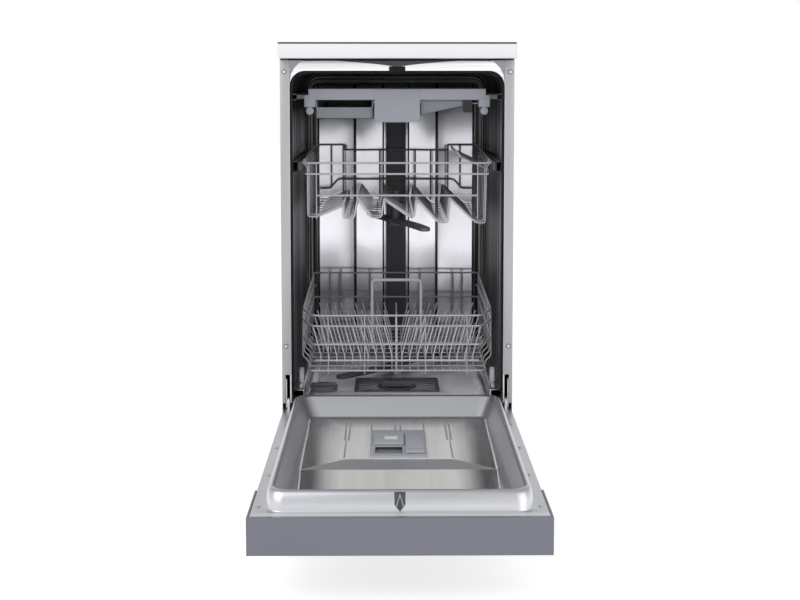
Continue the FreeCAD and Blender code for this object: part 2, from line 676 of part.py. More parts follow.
def side_panels():
    sheet = D.panel_sheet
    for side, sign in SIDES:
        name = f"{side}_side_panel"
        skin = box(f"{name}_skin", side_span(sign, PANEL_INSIDE, BODY_HALF), deep(0, D.body_depth),
                   (D.panel_bottom, WORKTOP_UNDERSIDE))
        flange = box(f"{name}_flange", side_span(sign, BODY_HALF - D.flange_width, BODY_HALF),
                     deep(0, sheet), (D.notch_top, WORKTOP_UNDERSIDE))
        strip = box(f"{name}_strip", side_span(sign, BODY_HALF - D.flange_strip, BODY_HALF),
                    deep(0, sheet), (D.flange_bottom, D.notch_top))
        rear = box(f"{name}_rear", side_span(sign, BODY_HALF - D.rear_flange, BODY_HALF),
                   deep(D.body_depth - sheet, D.body_depth), (D.panel_bottom, WORKTOP_UNDERSIDE))
        node(fuse(name, skin, flange, strip, rear), name)


def rear_closures():
    inside = D.body_depth - D.panel_sheet
    node(box("rear_panel", across(PANEL_INSIDE), deep(inside - D.panel_sheet, inside),
             (D.rear_cover_top + D.clearance, WORKTOP_UNDERSIDE)), "rear_panel")
    plate = box("rear_cover_plate", across(PANEL_INSIDE), deep(REAR_COVER_FRONT, REAR_COVER_BACK),
                (D.panel_bottom, D.rear_cover_top))
    holes = []
    ports = (
        ("inlet", -D.inlet_place, D.inlet_radius),
        ("drain", D.drain_place, D.drain_radius),
        ("gland", D.gland_place, D.gland_radius),
    )
    for name, place_x, radius in ports:
        start = (place_x, FRONT + REAR_COVER_FRONT - D.panel_sheet, D.inlet_height)
        holes.append(cylinder(f"rear_cover_{name}", "y", start, radius + D.running_fit, D.panel_sheet * 3))
    node(cut("rear_cover", plate, *holes), "rear_cover")


def base():
    wall = D.base_wall
    rear = REAR_COVER_FRONT
    shell = box("base_shell", across(PANEL_INSIDE), deep(D.base_front, rear), (D.panel_bottom, BASE_TOP))
    hollow = box("base_hollow", across(PANEL_INSIDE - wall), deep(D.base_front + wall, rear - wall),
                 (D.panel_bottom + wall, BASE_TOP + wall))
    bosses = []
    bores = []
    for name, x, y in foot_places():
        bosses.append(cylinder(f"base_boss_{name}", "z", (x, y, D.panel_bottom), D.foot_boss_radius,
                               D.base_height))
        bores.append(cylinder(f"base_bore_{name}", "z", (x, y, D.panel_bottom - wall),
                              D.foot_stem_radius + D.running_fit, D.base_height + wall * 2))
    node(cut("base_tray", fuse("base_with_bosses", cut("base_pan", shell, hollow), *bosses), *bores),
         "base_tray")

    back = D.plinth_setback + D.plinth_sheet
    board = box("plinth_board", across(PANEL_INSIDE - D.clearance), deep(D.plinth_setback, back),
                (D.plinth_bottom, D.plinth_top))
    tabs = []
    for side, sign in SIDES:
        inner = D.plinth_tab_place
        tabs.append(box(f"plinth_tab_{side}", side_span(sign, inner, inner + D.plinth_tab),
                        deep(back, D.base_front), (D.panel_bottom, BASE_TOP)))
    node(fuse("plinth", board, *tabs), "plinth")


def foot_places():
    ends = (("front", D.base_front + D.foot_inset), ("rear", REAR_COVER_FRONT - D.foot_inset))
    for end, depth in ends:
        for side, sign in SIDES:
            yield f"{end}_{side}", D.foot_place_x * sign, FRONT + depth


def feet():
    for name, x, y in foot_places():
        pad = cylinder(f"foot_{name}_pad", "z", (x, y, as_size(0)), D.foot_radius, D.foot_pad)
        stem = cylinder(f"foot_{name}_stem", "z", (x, y, as_size(0)), D.foot_stem_radius, D.foot_stem_top)
        node(fuse(f"foot_{name}", pad, stem), f"{name}_foot")


def cabinet_screws():
    heads = []
    for side, sign in SIDES:
        for level, z in (("low", D.screw_low), ("high", D.screw_high)):
            start = (SCREW_X * sign, FRONT - D.screw_head, z)
            heads.append(cylinder(f"screw_{side}_{level}", "y", start, D.screw_radius, D.screw_head))
    node(group("cabinet_screws", *heads), "cabinet_screws")


# Washing chamber

def arch(label, outer, inner, bottom, depths, radii):
    """An upside-down U of sheet with rounded upper corners, made between two depths."""
    (outer_half, outer_top), (inner_half, inner_top) = outer, inner
    points = [
        (-outer_half, bottom), (-outer_half, outer_top), (outer_half, outer_top), (outer_half, bottom),
        (inner_half, bottom), (inner_half, inner_top), (-inner_half, inner_top), (-inner_half, bottom),
    ]
    body = padded(label, "XZ_Plane", points, depths[1] - depths[0])
    rounded(body, points[1:3], "xz", radii[0])
    rounded(body, points[5:7], "xz", radii[1])
    bind(body, "Placement.Base.y", FRONT + depths[1])
    return body


def tub():
    sheet = D.tub_sheet
    frame_back = D.panel_sheet + sheet
    outer_half = D.tub_half + sheet
    node(arch("tub_wrapper", (outer_half, D.tub_top + sheet), (D.tub_half, D.tub_top),
              D.tub_floor - D.floor_sheet, (frame_back, D.tub_rear), (D.tub_corner + sheet, D.tub_corner)),
         "tub_wrapper")

    leg = D.tub_half + D.frame_leg
    points = [
        (-D.frame_half, D.notch_top), (-D.frame_half, D.frame_top),
        (D.frame_half, D.frame_top), (D.frame_half, D.notch_top),
        (leg, D.notch_top), (leg, D.flange_bottom), (D.tub_half, D.flange_bottom), (D.tub_half, D.tub_top),
        (-D.tub_half, D.tub_top), (-D.tub_half, D.flange_bottom), (-leg, D.flange_bottom), (-leg, D.notch_top),
    ]
    frame = padded("tub_front_frame", "XZ_Plane", points, sheet)
    rounded(frame, points[7:9], "xz", D.tub_corner)
    bind(frame, "Placement.Base.y", FRONT + frame_back)
    node(frame, "tub_front_frame")

    back_points = [
        (-outer_half, D.tub_floor - D.floor_sheet), (outer_half, D.tub_floor - D.floor_sheet),
        (outer_half, D.tub_top + sheet), (-outer_half, D.tub_top + sheet),
    ]
    plate = padded("tub_back_plate", "XZ_Plane", back_points, sheet)
    rounded(plate, back_points[2:], "xz", D.tub_corner + sheet)
    bind(plate, "Placement.Base.y", FRONT + D.tub_rear + sheet)
    ribs = []
    for pair, centre in enumerate((D.rib_inner, D.rib_middle, D.rib_outer)):
        for side, sign in SIDES:
            edges = side_span(sign, centre - D.rib_width / 2, centre + D.rib_width / 2)
            ribs.append(box(f"tub_rib_{side}_{pair}", edges, deep(D.tub_rear - D.rib_depth, D.tub_rear),
                            (D.rib_bottom, D.rib_top)))
    node(fuse("tub_back_panel", plate, *ribs), "tub_back_panel")


def tub_floor():
    low = D.tub_floor - D.floor_sheet
    front = D.floor_front
    plate = box("floor_plate", across(D.tub_half), deep(front, D.tub_rear), (low, D.tub_floor))
    lip = box("floor_lip", across(D.tub_half - D.ledge_width), deep(front, front + D.tub_sheet),
              (D.tub_floor, D.tub_floor + D.floor_lip))
    ledges = []
    for side, sign in SIDES:
        inner = D.tub_half - D.ledge_width
        start = D.guide_front
        ledges.append(box(f"ledge_{side}_top", side_span(sign, inner, D.tub_half), deep(start, D.tub_rear),
                          (D.ledge_top - D.tub_sheet, D.ledge_top)))
        ledges.append(box(f"ledge_{side}_wall", side_span(sign, inner, inner + D.tub_sheet),
                          deep(start, D.tub_rear), (D.tub_floor, D.ledge_top)))
    well = box("floor_well", across(D.filter_half - D.filter_rest),
               deep(D.filter_front + D.filter_rest, D.filter_rear - D.filter_rest),
               (low - D.floor_sheet, D.tub_floor + D.floor_sheet))
    hub = cylinder("floor_hub_hole", "z", (as_size(0), FRONT + D.hub_place, low - D.floor_sheet),
                   D.hub_radius + D.running_fit, D.floor_sheet * 3)
    salt = cylinder("floor_salt_hole", "z", (-D.salt_place_x, FRONT + D.salt_place_y, low - D.floor_sheet),
                    D.salt_neck_radius + D.running_fit, D.floor_sheet * 3)
    node(cut("tub_floor", fuse("floor_pressing", plate, lip, *ledges), well, hub, salt), "tub_floor")


def door_seal():
    inner = D.tub_half - D.seal_thickness
    band = arch("seal_band", (D.tub_half, D.tub_top), (inner, D.tub_top - D.seal_thickness),
                D.ledge_top, (D.seal_front, D.seal_front + D.seal_depth),
                (D.tub_corner, D.tub_corner - D.seal_thickness))
    lip_top = D.tub_floor + D.floor_lip
    sill = box("seal_sill", across(D.tub_half - D.ledge_width),
               deep(D.floor_front, D.floor_front + D.sill_thickness), (lip_top, lip_top + D.sill_height))
    node(group("door_seal", band, sill), "door_seal")


def latch_strike():
    node(box("latch_strike", across(D.strike_half), deep(-D.strike_reach, D.panel_sheet),
             (D.strike_bottom, D.strike_bottom + D.strike_height)), "latch_strike")


# Water system

def spray_column():
    front = D.tub_rear - D.column_depth
    duct = box("column_duct", across(D.column_half), deep(front, D.tub_rear), (D.tub_floor, D.column_top))
    nozzle = cylinder("column_nozzle", "y", (as_size(0), FRONT + front - D.dock_length, D.pipe_height),
                      D.dock_radius, D.dock_length)
    node(fuse("spray_column", duct, nozzle), "spray_column")


def sump():
    under_floor = D.tub_floor - D.floor_sheet
    housing = box("sump_housing", across(D.sump_half), deep(D.sump_front, D.sump_rear),
                  (D.sump_bottom, under_floor))
    centre = FRONT + D.hub_place
    hub = cylinder("sump_hub", "z", (as_size(0), centre, under_floor), D.hub_radius, D.hub_top - under_floor)
    pin = cylinder("sump_pin", "z", (as_size(0), centre, D.hub_top), D.hub_pin_radius, D.hub_pin_length)
    pit_bottom = D.tub_floor + D.filter_sheet - D.cup_depth
    pit = cylinder("sump_pit", "z", (as_size(0), FRONT + D.cup_place, pit_bottom - D.clearance),
                   D.cup_radius + D.clearance, D.cup_depth)
    node(cut("sump", fuse("sump_body", housing, hub, pin), pit), "sump")

    motor = cylinder("circulation_pump", "x", (D.sump_half, FRONT + D.pump_place, D.pump_height),
                     D.pump_radius, D.pump_length)
    node(motor, "circulation_pump")
    drain_start = (-D.sump_half - D.drain_pump_length, FRONT + D.pump_place, D.pump_height)
    drain = cylinder("drain_pump", "x", drain_start, D.drain_pump_radius, D.drain_pump_length)
    node(drain, "drain_pump")


def filters():
    top = D.tub_floor + D.filter_sheet
    sheet = box("filter_sheet_blank", across(D.filter_half), deep(D.filter_front, D.filter_rear),
                (D.tub_floor, top))
    centre = FRONT + D.cup_place
    hole = cylinder("filter_hole", "z", (as_size(0), centre, D.tub_floor - D.filter_sheet),
                    D.cup_radius + D.clearance, D.filter_sheet * 3)
    node(cut("flat_filter", sheet, hole), "flat_filter")

    wall = cylinder("cup_wall_blank", "z", (as_size(0), centre, top - D.cup_depth), D.cup_radius,
                    D.cup_depth + D.cup_rim)
    rim = cylinder("cup_rim_blank", "z", (as_size(0), centre, top), D.cup_rim_radius, D.cup_rim)
    bore = cylinder("cup_bore", "z", (as_size(0), centre, top - D.cup_depth + D.cup_rim),
                    D.cup_radius - D.cup_rim, D.cup_depth + D.cup_rim)
    grip_half = D.cup_grip_width / 2
    grip = box("cup_grip", across(D.cup_radius), (centre - grip_half, centre + grip_half),
               (top, top + D.cup_grip_height))
    node(fuse("filter_cup", cut("cup_shell", fuse("cup_blank", wall, rim), bore), grip), "filter_cup")


def spray_arm(label, half, angle, centre, up):
    """A flat arm with round ends and a collar, standing on its pin or hanging from it."""
    width = D.arm_width / 2
    zero = as_size(0)

    def level(height):
        return (zero, height) if up > 0 else (-height, zero)

    thickness = level(D.arm_thickness)
    collar_z = level(D.arm_collar)
    bar = box(f"{label}_bar", across(half - width), across(width), thickness)
    ends = [cylinder(f"{label}_end_{side}", "z", ((half - width) * sign, zero, thickness[0]), width,
                     D.arm_thickness) for side, sign in SIDES]
    collar = cylinder(f"{label}_collar", "z", (zero, zero, collar_z[0]), D.arm_collar_radius, D.arm_collar)
    bore_z = level(D.hub_pin_length + D.clearance)
    bore = cylinder(f"{label}_bore", "z", (zero, zero, bore_z[0]), D.hub_pin_radius + D.running_fit,
                    D.hub_pin_length + D.clearance)
    arm = cut(label, fuse(f"{label}_blank", bar, *ends, collar), bore)
    arm.Placement = Placement(Vector(), Rotation(Vector(0, 0, 1), angle.value))
    bind(arm, "Placement.Rotation.Angle", angle)
    place(arm, *centre)
    return node(arm, label)


def softener():
    under_floor = D.tub_floor - D.floor_sheet
    x = -D.salt_place_x
    y = FRONT + D.salt_place_y
    half = D.softener_half
    tank = box("softener_tank", (x - half, x + half), (y - half, y + half), (D.softener_bottom, under_floor))
    neck = cylinder("softener_neck", "z", (x, y, under_floor), D.salt_neck_radius,
                    D.salt_neck_top - under_floor)
    mouth = cylinder("softener_mouth", "z", (x, y, D.salt_neck_top - D.salt_plug_depth - D.clearance),
                     D.salt_neck_bore + D.running_fit, D.salt_plug_depth * 2)
    node(cut("softener", fuse("softener_body", tank, neck), mouth), "softener")

    cap_bottom = D.salt_neck_top
    disc = cylinder("salt_cap_disc", "z", (x, y, cap_bottom), D.salt_cap_radius, D.salt_cap_height)
    plug = cylinder("salt_cap_plug", "z", (x, y, cap_bottom - D.salt_plug_depth), D.salt_neck_bore,
                    D.salt_plug_depth)
    grip_half = D.cup_grip_width / 2
    reach = D.salt_cap_radius - D.cup_rim
    grip = box("salt_cap_grip", (x - reach, x + reach), (y - grip_half, y + grip_half),
               (cap_bottom + D.salt_cap_height, cap_bottom + D.salt_cap_height + D.salt_grip_height))
    node(fuse("salt_cap", disc, plug, grip), "salt_cap")


def spigot(name, x, radius, length):
    """A hose spigot through the rear cover, with a narrow relief where a nut or hose ends."""
    through = FRONT + REAR_COVER_FRONT
    behind = FRONT + REAR_COVER_BACK
    z = D.inlet_height
    return (
        cylinder(f"{name}_root", "y", (x, through, z), radius, D.panel_sheet),
        cylinder(f"{name}_relief", "y", (x, behind, z), radius - D.relief_depth, D.relief_length),
        cylinder(f"{name}_end", "y", (x, behind + D.relief_length, z), radius, length - D.relief_length),
    )


def rear_ports():
    z = D.inlet_height
    cover_front = FRONT + REAR_COVER_FRONT
    cover_back = FRONT + REAR_COVER_BACK
    half = D.valve_half
    x = -D.inlet_place
    housing = box("valve_housing", (x - half, x + half), (cover_front - D.valve_depth, cover_front),
                  (z - half, z + half))
    node(fuse("inlet_valve", housing, *spigot("inlet", x, D.inlet_radius, D.inlet_length)), "inlet_valve")

    collar = cylinder("drain_collar", "y", (D.drain_place, cover_front - D.collar_length, z),
                      D.drain_collar_radius, D.collar_length)
    tube = spigot("drain", D.drain_place, D.drain_radius, D.drain_length)
    node(fuse("drain_spigot", collar, *tube), "drain_spigot")

    sleeve = cylinder("gland_sleeve", "y", (D.gland_place, cover_front, z), D.gland_radius,
                      D.panel_sheet + D.collar_length)
    flange = cylinder("gland_flange", "y", (D.gland_place, cover_back, z), D.gland_collar_radius,
                      D.collar_length)
    bore = cylinder("gland_hole", "y", (D.gland_place, cover_front - D.collar_length, z), D.gland_bore,
                    D.collar_length * 4)
    node(cut("cable_gland", fuse("gland_blank", sleeve, flange), bore), "cable_gland")


# Door, drawn flat open

FLANGE_TOP = D.pivot_height - D.door_inner
FLANGE_UNDER = FLANGE_TOP - D.door_sheet
DOOR_FACE = FLANGE_TOP - D.door_thickness
DOOR_END = FRONT - D.door_reach
DOOR_TAIL = FRONT + D.pivot_depth + D.door_below_pivot
CONSOLE_START = DOOR_END + D.console_length
RIM_TOP = FLANGE_TOP + D.rim_height
DISH_FLOOR = RIM_TOP - D.dish_depth
RIM_NEAR = DOOR_END + D.rim_near
RIM_FAR = FRONT + D.pivot_depth - D.rim_far
PIVOT_Y = FRONT + D.pivot_depth


def rounded_rectangle(x, y, z, radius):
    """A closed wire with round corners, level at a height."""
    (left, right), (near, far) = x, y
    corners = (
        (right - radius, near + radius, -90),
        (right - radius, far - radius, 0),
        (left + radius, far - radius, 90),
        (left + radius, near + radius, 180),
    )
    points = []
    for u, v, start in corners:
        for turn in (0, 45, 90):
            angle = math.radians(start + turn)
            points.append(Vector(u + radius * math.cos(angle), v + radius * math.sin(angle), z))
    edges = []
    for index in range(0, len(points), 3):
        edges.append(Part.Arc(*points[index:index + 3]).toShape())
        edges.append(Part.LineSegment(points[index + 2], points[(index + 3) % len(points)]).toShape())
    return Part.Wire(edges)


def frustum(low, high):
    """A solid ruled between two rounded rectangles."""
    return Part.makeLoft([rounded_rectangle(*low), rounded_rectangle(*high)], True, True)


def grown(section, amount, lift=0.0):
    (left, right), (near, far), z, radius = section
    return ((left - amount, right + amount), (near - amount, far + amount), z + lift, radius + amount)


def plain_box(x, y, z):
    size = [high.value - low.value for low, high in (x, y, z)]
    return Part.makeBox(*size, Vector(x[0].value, y[0].value, z[0].value))


def door_liner():
    """Drawn sheet: a flange round a raised rim, and the dish that the rim surrounds."""
    sheet = D.door_sheet.value
    half = D.rim_half
    near, far = RIM_NEAR, RIM_FAR
    corner = D.rim_corner.value
    rim_low = ((-half.value, half.value), (near.value, far.value), FLANGE_UNDER.value, corner)
    draft = D.rim_draft.value
    top_x = half.value - draft
    top_y = (near.value + D.rim_end_draft.value, far.value - draft)
    rim_high = ((-top_x, top_x), top_y, RIM_TOP.value, corner)
    width = D.rim_width.value
    mouth_y = (top_y[0] + width, top_y[1] - width)
    mouth = ((-top_x + width, top_x - width), mouth_y, RIM_TOP.value, corner - width)
    lean = D.dish_draft.value
    floor_x = top_x - width - lean
    floor_y = (mouth_y[0] + lean, mouth_y[1] - D.dish_end_draft.value)
    floor = ((-floor_x, floor_x), floor_y, DISH_FLOOR.value, corner - width)
    flange = plain_box(across(D.door_half - D.door_sheet), (DOOR_END + D.console_edge + D.liner_gap, DOOR_TAIL),
                       (FLANGE_UNDER, FLANGE_TOP))
    pressing = frustum(rim_low, rim_high)
    basin_skin = frustum(grown(floor, sheet, -sheet), grown(mouth, sheet, -sheet))
    hollow = frustum(grown(rim_low, -sheet, -sheet), grown(rim_high, -sheet, -sheet)).cut(basin_skin)
    basin = frustum(floor, mouth)
    liner = flange.fuse(pressing).fuse(basin_skin).cut(hollow).cut(basin)
    border = D.dispenser_border
    opening = plain_box(across(D.dispenser_half - border),
                        (FRONT - D.dispenser_near + border, FRONT - D.dispenser_far - border),
                        (DISH_FLOOR - D.dish_depth, DISH_FLOOR + D.dish_depth))
    liner = liner.cut(opening)
    for _, sign in SIDES:
        gap = D.clearance
        slot_x = side_span(sign, D.arm_plate_inner - gap, D.arm_plate_inner + D.arm_plate + gap)
        slot_y = (PIVOT_Y - D.arm_eye - gap, PIVOT_Y + D.arm_eye + gap)
        liner = liner.cut(plain_box(slot_x, slot_y, (FLANGE_UNDER - gap, FLANGE_TOP + gap)))
    node(made("door_liner", liner.removeSplitter()), "door_liner")


def door_outer_panel():
    sheet = D.door_sheet
    shell = box("panel_shell", across(D.door_half), (CONSOLE_START, DOOR_TAIL), (DOOR_FACE, FLANGE_UNDER))
    hollow = box("panel_hollow", across(D.door_half - sheet), (CONSOLE_START + sheet, DOOR_TAIL - sheet),
                 (DOOR_FACE + sheet, FLANGE_TOP))
    over_return = box("panel_over_return", across(D.door_half - sheet),
                      (CONSOLE_START - sheet, DOOR_TAIL - sheet), (DOOR_FACE + D.panel_return, FLANGE_TOP))
    node(cut("door_outer_panel", shell, hollow, over_return), "door_outer_panel")


def button_places():
    return (
        ("power_button", -D.button_outer),
        ("program_button", -D.button_inner),
        ("start_button", D.button_outer),
    )


def console():
    wall = D.console_wall
    inside = DOOR_FACE + wall
    row = DOOR_END + D.button_row
    shell = box("console_shell", across(D.console_half), (DOOR_END, CONSOLE_START), (DOOR_FACE, FLANGE_TOP))
    hollow = box("console_hollow", across(D.console_half - wall),
                 (DOOR_END + D.console_edge, CONSOLE_START + wall), (inside, FLANGE_TOP + wall))
    near = DOOR_END + D.pocket_near
    far = near + D.pocket_length
    skin = D.pocket_wall
    half = D.pocket_half
    cup = box("pocket_cup", across(half + skin), (near - skin, far + skin),
              (DOOR_FACE, DOOR_FACE + D.pocket_depth + skin))
    pocket = box("pocket_space", across(half), (near, far), (DOOR_FACE - skin, DOOR_FACE + D.pocket_depth))
    ribs = []
    board_level = inside + D.board_standoff
    for name, x in (("left", D.board_left), ("right", D.board_right - D.board_rib)):
        ribs.append(box(f"board_rib_{name}", (x, x + D.board_rib), (row - D.board_half, row + D.board_half),
                        (inside, board_level)))
    holes = [
        cylinder(f"{name}_hole", "z", (x, row, DOOR_FACE - wall), D.button_radius + D.clearance, wall * 3)
        for name, x in button_places()
    ]
    window_y = (row - D.window_half, row + D.window_half)
    window = box("window_cut", (D.window_left, D.window_right), window_y, (DOOR_FACE - wall, inside + wall))
    walls = cut("console_walls", shell, hollow)
    node(cut("console", fuse("console_moulding", walls, cup, *ribs), pocket, window, *holes), "console")
    node(box("display_window", (D.window_left, D.window_right), window_y, (DOOR_FACE, inside)),
         "display_window")
    node(box("control_board", (D.board_left, D.board_right), (row - D.board_half, row + D.board_half),
             (board_level, board_level + D.board_thickness)), "control_board")
    for name, x in button_places():
        stem = cylinder(f"{name}_stem", "z", (x, row, DOOR_FACE - D.button_proud), D.button_radius,
                        D.button_proud + wall + D.button_stem)
        collar = cylinder(f"{name}_collar", "z", (x, row, inside + D.clearance),
                          D.button_radius + D.button_collar, D.button_collar)
        node(fuse(name, stem, collar), name)


def hinges():
    arms = []
    brackets = []
    eye = D.arm_eye
    for side, sign in SIDES:
        outer = D.arm_plate_inner + D.arm_plate
        arm_x = side_span(sign, D.arm_plate_inner, outer)
        bar_top = FLANGE_UNDER
        bar = box(f"arm_bar_{side}", arm_x, (PIVOT_Y - D.arm_reach, PIVOT_Y + eye),
                  (bar_top - eye * 2, bar_top))
        neck = box(f"arm_neck_{side}", arm_x, (PIVOT_Y - eye, PIVOT_Y + eye), (bar_top - eye, D.pivot_height))
        head = cylinder(f"arm_head_{side}", "x", (arm_x[0], PIVOT_Y, D.pivot_height), eye, D.arm_plate)
        bore = cylinder(f"arm_bore_{side}", "x", (arm_x[0] - D.arm_plate, PIVOT_Y, D.pivot_height),
                        D.pivot_radius + D.running_fit, D.arm_plate * 3)
        arms.append(cut(f"arm_{side}", fuse(f"arm_blank_{side}", bar, neck, head), bore))

        plate_x = side_span(sign, D.bracket_inner, D.bracket_inner + D.bracket_plate)
        low = D.pivot_height - eye
        plate_y = (FRONT + D.panel_sheet + D.tub_sheet, PIVOT_Y + D.bracket_length)
        plate = box(f"bracket_plate_{side}", plate_x, plate_y, (low, D.pivot_height + D.bracket_height))
        foot_x = side_span(sign, D.bracket_inner + D.bracket_plate, PANEL_INSIDE)
        foot = box(f"bracket_foot_{side}", foot_x, (PIVOT_Y + eye, PIVOT_Y + D.bracket_length),
                   (D.pivot_height, D.pivot_height + D.bracket_height))
        pin_x = side_span(sign, D.arm_plate_inner, D.bracket_inner)
        pin = cylinder(f"bracket_pin_{side}", "x", (pin_x[0], PIVOT_Y, D.pivot_height), D.pivot_radius,
                       D.bracket_inner - D.arm_plate_inner)
        brackets.append(fuse(f"bracket_{side}", plate, foot, pin))
    node(group("hinge_arms", *arms), "hinge_arms")
    node(group("hinge_brackets", *brackets), "hinge_brackets")


def latch_plate():
    lean = D.rim_end_draft * (D.rim_height / (D.rim_height + D.door_sheet))
    base = RIM_NEAR + D.rim_end_draft - lean - D.door_sheet / 10
    points = [
        (base, FLANGE_TOP), (base - D.latch_thickness, FLANGE_TOP),
        (base - D.latch_thickness + lean, RIM_TOP), (base + lean, RIM_TOP),
    ]
    plate = padded("latch_plate", "YZ_Plane", points, D.latch_half * 2)
    bind(plate, "Placement.Base.x", -D.latch_half)
    node(plate, "latch_plate")


def door_screws():
    heads = []
    for side, sign in SIDES:
        for number in range(int(D.door_screw_count.value)):
            y = FRONT - D.door_screw_first - D.door_screw_pitch * number
            start = ((D.door_half - D.door_screw_inset) * sign, y, FLANGE_TOP)
            heads.append(cylinder(f"door_screw_{side}_{number}", "z", start, D.screw_radius, D.screw_head))
    node(group("door_screws", *heads), "door_screws")


def dispenser():
    top = DISH_FLOOR + D.dispenser_proud
    border = D.dispenser_border
    near, far = FRONT - D.dispenser_near, FRONT - D.dispenser_far
    flange = box("dispenser_flange", across(D.dispenser_half), (near, far), (DISH_FLOOR, top))
    gap = D.clearance
    tank = box("dispenser_tank", across(D.dispenser_half - border - gap),
               (near + border + gap, far - border - gap), (DISH_FLOOR - D.dispenser_depth, DISH_FLOOR))
    lid_far = FRONT - D.lid_far
    lid_near = lid_far - D.lid_length
    wall = D.cup_wall
    cup = box("dispenser_cup", (-D.lid_left + wall, D.lid_right - wall),
              (lid_near - D.lid_travel + wall, lid_near - wall),
              (DISH_FLOOR - D.dispenser_depth + D.cup_floor, top + D.cup_floor))
    node(cut("dispenser_body", fuse("dispenser_blank", flange, tank), cup), "dispenser_body")
    lid_level = top + D.clearance
    node(box("detergent_lid", (-D.lid_left, D.lid_right), (lid_near, lid_far),
             (lid_level, lid_level + D.lid_height)), "detergent_lid")
    rinse_near = FRONT - D.rinse_near
    cap = box("rinse_cap", (D.rinse_left, D.rinse_right), (rinse_near, lid_far),
              (lid_level, lid_level + D.rinse_height))
    middle = (D.rinse_left + D.rinse_right) / 2
    tab = box("rinse_tab_bar", (middle - D.rinse_tab / 2, middle + D.rinse_tab / 2),
              (rinse_near + D.rinse_height, rinse_near + D.rinse_height * 3),
              (lid_level + D.rinse_height, lid_level + D.rinse_height + D.rinse_tab_height))
    node(fuse("rinse_aid_lid", cap, tab), "rinse_aid_lid")


# Racks

def spaced(low, high, pitch):
    """Evenly spaced places from one end to the other, about a pitch apart."""
    count = max(1, round((high - low) / pitch))
    return [low + (high - low) * index / count for index in range(count + 1)]


def flush_wires(length, bar, pitch):
    """Places of the wires along a side, the first and last flush with its ends."""
    return spaced(bar / 2, length - bar / 2, pitch)


def grille(width, height, bar, columns, rows):
    """A flat grid of square wire in its own XY plane: columns run along Y and rows along X."""
    bars = [Part.makeBox(bar, height, bar, Vector(place - bar / 2, 0, 0)) for place in columns]
    bars += [Part.makeBox(width, bar, bar, Vector(0, place - bar / 2, 0)) for place in rows]
    return bars[0].multiFuse(bars[1:]).removeSplitter()


UPRIGHT_ACROSS = Rotation(Vector(1, 0, 0), 90)
UPRIGHT_ALONG = Rotation(Vector(1, 1, 1), 120)


def placed(shape, corner, turn=Rotation()):
    shape.Placement = Placement(Vector(*[size.value for size in corner]), turn)
    return shape


def wall_grille(length, levels):
    """An upright grille between its lowest and highest level, with a wire at each level between them."""
    bar = D.wire.value
    bottom = levels[0].value
    height = levels[-1].value - bottom
    rows = [bar / 2] + [level.value - bottom - bar / 2 for level in levels[1:]]
    return grille(length.value, height, bar, flush_wires(length.value, bar, D.wall_pitch.value), rows)


def rack_walls(half, near, far, front_levels, rear_levels, side_levels):
    """Four upright grilles round a rack, the sides standing between the front and the rear."""
    walls = []
    for y, levels in ((near + D.wire, front_levels), (far, rear_levels)):
        walls.append(placed(wall_grille(half * 2, levels), (-half, y, levels[0]), UPRIGHT_ACROSS))
    for x, levels in zip((-half, half - D.wire), side_levels):
        wall = wall_grille(far - near - D.wire * 2, levels)
        walls.append(placed(wall, (x, near + D.wire, levels[0]), UPRIGHT_ALONG))
    return walls


def floor_profile():
    """The folds of the upper basket's floor, from its left wall to its right one."""
    side = D.upper_half - D.wire
    return (
        (-side, D.well_left), (-D.ridge_outer_left, D.ridge_low), (-D.well_second, D.well_left),
        (-D.ridge_second, D.ridge_high), (-D.well_third, D.well_left), (-D.ridge_middle, D.ridge_high),
        (D.ridge_middle, D.ridge_high), (D.well_fourth, D.well_right), (D.ridge_outer_right, D.ridge_high),
        (side, D.well_right),
    )


def fold_trim(before, fold, after):
    """How far two strips stay back from the fold between them so that they don't meet."""
    angles = [math.atan2(point[1] - fold[1], point[0] - fold[0]) for point in (before, after)]
    half_turn = ((angles[0] - angles[1]) % math.tau) / 2
    inside = D.thin_wire.value / math.tan(half_turn)
    return D.clearance.value + max(0.0, inside)


def floor_strips(profile, y):
    """Flat strips of floor wire between the folds."""
    points = [(u.value, v.value) for u, v in profile]
    last = len(points) - 1
    trims = [D.clearance.value]
    trims += [fold_trim(points[i - 1], points[i], points[i + 1]) for i in range(1, last)]
    trims += [D.clearance.value]
    bar = D.thin_wire.value
    length = y[1].value - y[0].value
    rows = flush_wires(length, bar, D.floor_pitch.value)
    strips = []
    for index in range(last):
        (x0, z0), (x1, z1) = points[index], points[index + 1]
        slope = math.atan2(z1 - z0, x1 - x0)
        width = math.hypot(x1 - x0, z1 - z0) - trims[index] - trims[index + 1]
        strip = grille(width, length, bar, (bar / 2, width - bar / 2), rows)
        start = Vector(x0 + trims[index] * math.cos(slope), y[0].value, z0 + trims[index] * math.sin(slope))
        strip.Placement = Placement(start, Rotation(Vector(0, 1, 0), -math.degrees(slope)))
        strips.append(strip)
    return strips


def floor_ribbon(profile, near):
    """The folded wire that carries the ends of the floor strips."""
    rise = D.thin_wire.value * 2
    lower = [Vector(u.value, near.value, v.value) for u, v in profile]
    upper = [point + Vector(0, 0, rise) for point in reversed(lower)]
    face = Part.Face(Part.makePolygon(lower + upper + lower[:1]))
    return face.extrude(Vector(0, D.wire.value, 0))


